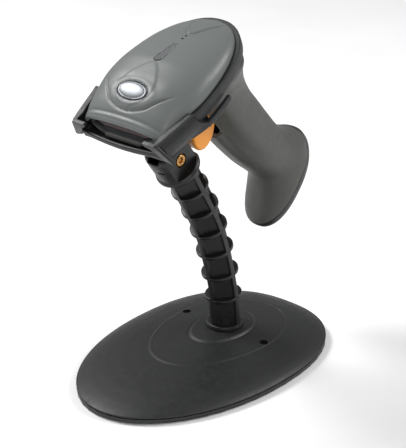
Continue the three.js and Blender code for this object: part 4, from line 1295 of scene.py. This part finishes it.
def sleeve(first, last):
    """The core swept between two samples of the centre line."""
    rings = []
    for k in np.unique(np.round(np.linspace(first, last, 26)).astype(int)):
        centre, _, normal = chain_frame(k)
        rings.append(centre + CORE[:, :1] * ACROSS + CORE[:, 1:] * normal)
    return loft(rings)


def flange_ring(station):
    """Four half-moon flanges, one on each face of the core."""
    centre, axis, normal = chain_frame(chain_index(station))
    thick, span, inner = 1.15, 43.0, 6.2
    moons = []
    for face in (45, 225, -45, 135):
        rings = []
        for angle in np.linspace(-span, span, 33):
            turn = rad(face + angle)
            out = math.cos(turn) * ACROSS + math.sin(turn) * normal
            outer = 11.35 - 0.55 * (abs(angle) / span) ** 3
            line = round_poly([(inner, -thick), (outer, -thick), (outer, thick),
                               (inner, thick)], [0.1, 0.55, 0.55, 0.1], 5)
            rings.append(centre + line[:, :1] * out + line[:, 1:] * axis)
        moons.append(loft(rings))
    return merge(*moons)


def add_neck_part(name, solid):
    return add_part(name, solid, "neck_black", angle=32)


def build_sleeves():
    """Sleeves run from link to link along the neck's curved centre line."""
    ends = [chain_index(np.array([14.8, 16.9]))] + [chain_index(p) for p in STATIONS[1:]]
    for k in range(6):
        obj = add_neck_part(f"neck_sleeve_{k + 1}", sleeve(ends[k], ends[k + 1]))
        unite(obj)
        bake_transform(obj)


def build_flanges():
    for k in range(1, 6):
        obj = add_neck_part(f"neck_flange_{k}", flange_ring(STATIONS[k]))
        unite(obj)
        attach(obj, f"link_{k}", f"neck_link_{k}")
    top = sleeve(chain_index(STATIONS[6]), chain_index(np.array([-26.3, 130.8])))
    obj = add_neck_part("neck_top_sleeve", merge(top, flange_ring(STATIONS[6])))
    unite(obj)
    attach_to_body(obj, "knuckle")


def build_root():
    """Stepped collar on the base, with a raised plate and tab on its +x -y face."""
    profile = [(3.2, 14.45), (11.2, 14.45), (11.6, 14.7), (11.62, 16.6), (11.35, 17.1),
               (10.9, 17.35), (9.9, 17.4), (3.2, 17.4)]      # radius, z
    obj = add_neck_part("neck_root_collar", turned([0, NECK_Y, 0], UPRIGHT, profile, 96))
    out = np.array([1, -1, 0]) / math.sqrt(2)
    side = np.array([1, 1, 0]) / math.sqrt(2)
    # half width, z from and to, depth from and to, corner radius
    for half, low, high, inner, outer, radius in ((4.9, 17.2, 24.9, 5.0, 7.05, 0.5),
                                                  (2.7, 17.4, 22.6, 6.0, 8.15, 0.45)):
        line = round_poly([(-half, low), (half, low), (half * 0.96, high),
                           (-half * 0.96, high)], radius, 5)
        rings = [np.array([0, 14.6, 0]) + out * depth + line[:, :1] * size * side
                 + UPRIGHT * line[:, 1:]
                 for depth, size in ((inner, 1), (outer - 0.3, 1), (outer, 0.95))]
        boolean(obj, loft(rings), "UNION", angle=32)
    attach(obj, "base", "neck_root")


build_sleeves()
build_flanges()
build_root()

# ---------------------------------------------------------------- knuckle and tilt screw
DRUM_CENTRE = np.array([0, -27.94, 131.47])
DRUM_AXIS = unit([0, -0.596, 0.803])
DRUM_BACK = np.cross(DRUM_AXIS, ACROSS)
# (radius, height) of the rolled collar and the drum above it
DRUM_PROFILE = [
    (9.4, -1.95), (12.3, -1.85), (13.2, -1.45), (13.6, -0.8), (13.68, -0.1), (13.55, 0.6),
    (13.1, 1.15), (12.7, 1.5), (12.6, 2.0), (12.62, 9.0), (12.6, 17.0), (12.2, 18.9),
    (11.3, 20.0), (10.0, 20.5), (8.6, 20.6)]


def on_drum(x, y, z):
    """Drum frame (x across, y to the back, z up its axis) to row frame."""
    return (DRUM_CENTRE + np.outer(x, ACROSS) + np.outer(y, DRUM_BACK)
            + np.outer(z, DRUM_AXIS))


def build_drum():
    obj = add_neck_part("neck_knuckle_drum",
                        turned(DRUM_CENTRE, DRUM_AXIS, DRUM_PROFILE, 144))

    def cut(solid):
        boolean(obj, placed(solid, on_drum), angle=32)

    def cut_across(line, half):
        cut(loft([section(line, 0, x) for x in (-half, half)]))

    # both sides are cut flat above the collar
    for low, high in ((8.0, 30.0), (-30.0, -8.0)):
        cut(box((low, -30, 1.9), (high, 30, 40)))
    # slot for the cradle's tongue, flared at the front for its forward tilt
    cut_across([(-9.6, 3.6), (9.6, 3.6), (9.6, 40), (-24.0, 40), (-13.2, 19.4),
                (-9.7, 17.0)], 4.1)
    # flat down the back, past which the trigger swings when the nose tips up
    cut_across([(11.85, -8.0), (18.0, -8.0), (18.0, 30.0), (11.85, 30.0)], 7.6)
    # small slanted slot in the front
    slot = round_poly([(0.2, 11.6), (4.8, 10.1), (5.0, 11.5), (0.4, 12.9)], 0.6, 5)
    cut(loft([section(slot, 1, y) for y in (-14.0, -10.9)]))
    bevel(obj, width=0.4, segments=2, limit=40, angle=32)
    # screw bore and counterbores after the edges are rounded
    for radius, start, end, count in ((TILT_BORE, -20, 20, 40), (4.3, 6.0, 20, 48),
                                      (4.3, -20, -6.0, 48)):
        boolean(obj, cylinder(TILT_AXIS, ACROSS, radius, start, end, count), angle=32)
    attach(obj, "knuckle", "neck_knuckle")


def build_tilt_screw():
    """Socket-head screw: knurled rim, chamfer and hexagon socket at the +x end."""
    turn = np.linspace(0, 2 * np.pi, 144, endpoint=False)
    knurl = 0.07 * np.cos(turn * 36)
    # radius, x, share of the knurl
    profile = ((1.95, -7.6, 0), (1.95, 6.1, 0), (3.3, 6.1, 0), (3.45, 6.25, 0.6),
               (3.45, 6.5, 1), (3.45, 7.7, 1), (3.42, 7.95, 0.5), (3.25, 8.2, 0),
               (3.05, 8.3, 0), (2.1, 8.3, 0), (1.95, 8.2, 0))
    hexagon = 1.62 / np.cos((turn % (np.pi / 3)) - np.pi / 6)
    outlines = [(radius + knurl * share, x) for radius, x, share in profile]
    outlines += [(hexagon, 8.05), (hexagon, 7.0)]
    rings = [np.stack([np.full(len(turn), x), TILT_AXIS[1] + radius * np.cos(turn),
                       TILT_AXIS[2] + radius * np.sin(turn)], 1) for radius, x in outlines]
    add_part("tilt_screw_brass", loft(rings), "brass", "knuckle", "tilt_screw", angle=35)


build_drum()
build_tilt_screw()

# ---------------------------------------------------------------- base cover
BASE_HALF, BASE_FRONT, BASE_REAR = 59.7, 98.0, 79.0     # reach in x, -y and +y
# (share of the outline, z)
dome = smooth_table([
    [0, 13.3], [0.2, 13.2], [0.38, 12.8], [0.54, 12.0], [0.68, 10.9], [0.8, 9.4],
    [0.9, 7.6], [0.965, 5.9], [0.99, 5.0], [1.0, 4.5]], 0.018, 0, 1.0, 0.002)
# (share of the outline, z): the rounded rim with its undercut, then the hollow inside
BASE_UNDER = [
    (1.0, 4.75), (1.0015, 4.35), (1.0, 3.95), (0.9965, 3.66), (0.990, 3.5), (0.975, 3.5),
    (0.962, 3.6), (0.955, 4.2), (0.88, 6.0), (0.74, 8.0), (0.55, 9.8), (0.36, 10.8),
    (0.012, 11.2)]


def base_xy(share, turn):
    """The outline scaled by share: an ellipse in front, shorter and squarer behind."""
    cos, sin = np.cos(turn), np.sin(turn)
    power = np.where(sin > 0, 1 / 1.2, 1.0)
    return (BASE_HALF * share * np.sign(cos) * np.abs(cos) ** power,
            np.where(sin > 0, BASE_REAR, -BASE_FRONT) * share * np.abs(sin) ** power)


def neck_oval(x, y, half, rear, front):
    """1 on an oval round the neck, less inside it."""
    return np.sqrt((x / half) ** 2 + ((y - NECK_Y) / np.where(y > NECK_Y, rear, front)) ** 2)


def build_base():
    count = 288
    turn = np.linspace(0, 2 * np.pi, count, endpoint=False)
    shares = np.concatenate([np.linspace(0.012, 0.93, 150),
                             0.93 + 0.068 * np.sin(np.linspace(0, np.pi / 2, 22))[1:]])
    rings = []
    for share in shares:
        x, y = base_xy(share, turn)
        z = dome(share) * np.ones(count)
        # broad inner terrace: a fine step round the middle
        edge = (neck_oval(x, y, 34, 44.0, 58.0) - 1) * 40
        z = z + 0.34 * (1 - ease(-0.45, 0.45, edge)) + 0.10 * bell(edge + 1.0, 0.5)
        # small flat terrace at the neck, with a groove round it
        edge = (neck_oval(x, y, 16.3, 22.0, 26.5) - 1) * 20
        z = np.where(edge < 0.5, np.maximum(z, 13.75 + 0.62 * (1 - ease(-1.1, 0.3, edge))), z)
        z = z - 0.22 * bell(edge - 0.9, 0.45)
        rings.append(np.stack([x, y, z], 1))
    rings += [np.stack([*base_xy(share, turn), np.full(count, z)], 1)
              for share, z in BASE_UNDER]
    obj = add_part("base_cover_moulding", loft(rings), "base_satin", angle=32)
    # a hole each side of the neck, wider at the top, and one under the neck
    for x in (31, -31):
        boolean(obj, turned([x, NECK_Y, 0], UPRIGHT,
                            [(2.7, -2), (2.7, 13.0), (3.2, 13.6), (3.2, 22)], 56), angle=32)
    boolean(obj, cylinder([0, NECK_Y, 0], UPRIGHT, 3.3, 2, 22, 40), angle=32)
    attach(obj, "base", "base_cover")


build_base()

# ---------------------------------------------------------------- remaining CAD parts
CAD_SLOTS = {part["node"]: part["material_slot"] for part in frame["record"]["subparts"]}
for node_name, obj in frame["nodes"].items():
    if obj.hide_render:
        continue
    slot_name = CAD_SLOTS.get(node_name, "part_black")
    obj.data.materials.clear()
    obj.data.materials.append(MATS[slot_name])

# ---------------------------------------------------------------- camera, lights, floor
CAMERA_TURN, CAMERA_RISE = rad(40.716), rad(24.374)
CAMERA_DISTANCE = 907.0
CAMERA_SHIFT = (-3.787, -3.077)     # aim point's shift to the right and up in view
CAMERA_CENTRE = np.array([0.0, 0.0, 90.0])
SENSOR_WIDTH, LENS = 36.0, 123.639348


def build_camera():
    cos_turn, sin_turn = math.cos(CAMERA_TURN), math.sin(CAMERA_TURN)
    cos_rise, sin_rise = math.cos(CAMERA_RISE), math.sin(CAMERA_RISE)
    right = np.array([cos_turn, sin_turn, 0.0])
    up = np.array([-sin_turn * sin_rise, cos_turn * sin_rise, cos_rise])
    back = np.array([sin_turn * cos_rise, -cos_turn * cos_rise, sin_rise])
    aim = CAMERA_CENTRE + right * CAMERA_SHIFT[0] + up * CAMERA_SHIFT[1]
    place = (aim + back * CAMERA_DISTANCE) * MM
    data = bpy.data.cameras.new("camera")
    camera = bpy.data.objects.new("camera", data)
    scene.collection.objects.link(camera)
    camera.matrix_world = Matrix((*np.stack([right, up, back, place], 1).tolist(),
                                  (0, 0, 0, 1)))
    data.sensor_fit = "AUTO"
    data.sensor_width = SENSOR_WIDTH
    data.lens = LENS
    data.clip_start, data.clip_end = 0.05, 20.0
    scene.camera = camera


def area_light(name, location, aim, size, power):
    """A square light; places and size in metres, power in watts."""
    data = bpy.data.lights.new(name, "AREA")
    data.energy = power
    data.size = size
    light = bpy.data.objects.new(name, data)
    scene.collection.objects.link(light)
    light.location = Vector(location)
    light.rotation_mode = "QUATERNION"
    light.rotation_quaternion = (Vector(aim) - Vector(location)).to_track_quat("-Z", "Y")


def build_world():
    world = bpy.data.worlds.new("world")
    scene.world = world
    world.use_nodes = True
    background = world.node_tree.nodes["Background"]
    background.inputs["Color"].default_value = (1, 1, 1, 1)
    background.inputs["Strength"].default_value = 0.33


def build_floor():
    s = Shader("floor_pale")
    slow = s.noise(scale=14.0, detail=3.0, roughness=0.5)
    fine = s.noise(scale=900.0, detail=3.0, roughness=0.5)
    s.surface(Base_Color=s.mix(s.remap(slow, source=(0.3, 0.7)),
                               (0.90, 0.90, 0.90), (0.93, 0.93, 0.93)),
              Roughness=s.remap(fine, source=(0.3, 0.7), target=(0.6, 0.75)))
    s.bump(fine, strength=0.04, distance=0.0001)
    half = 6        # metres
    mesh = bpy.data.meshes.new("floor")
    mesh.from_pydata([(-half, -half, 0), (half, -half, 0), (half, half, 0), (-half, half, 0)],
                     [], [(0, 1, 2, 3)])
    mesh.materials.append(MATS["floor_pale"])
    floor = bpy.data.objects.new("floor", mesh)
    scene.collection.objects.link(floor)


build_camera()
area_light("key", location=(-0.85, -0.25, 1.05), aim=(0, 0, 0.14), size=0.55, power=15.5)
area_light("fill", location=(0.95, -0.95, 0.9), aim=(0, 0, 0.12), size=0.5, power=5.5)
area_light("rim", location=(0.75, 0.75, 0.95), aim=(0, 0, 0.14), size=0.45, power=9.0)
build_world()
build_floor()
scene.view_settings.view_transform = "Standard"
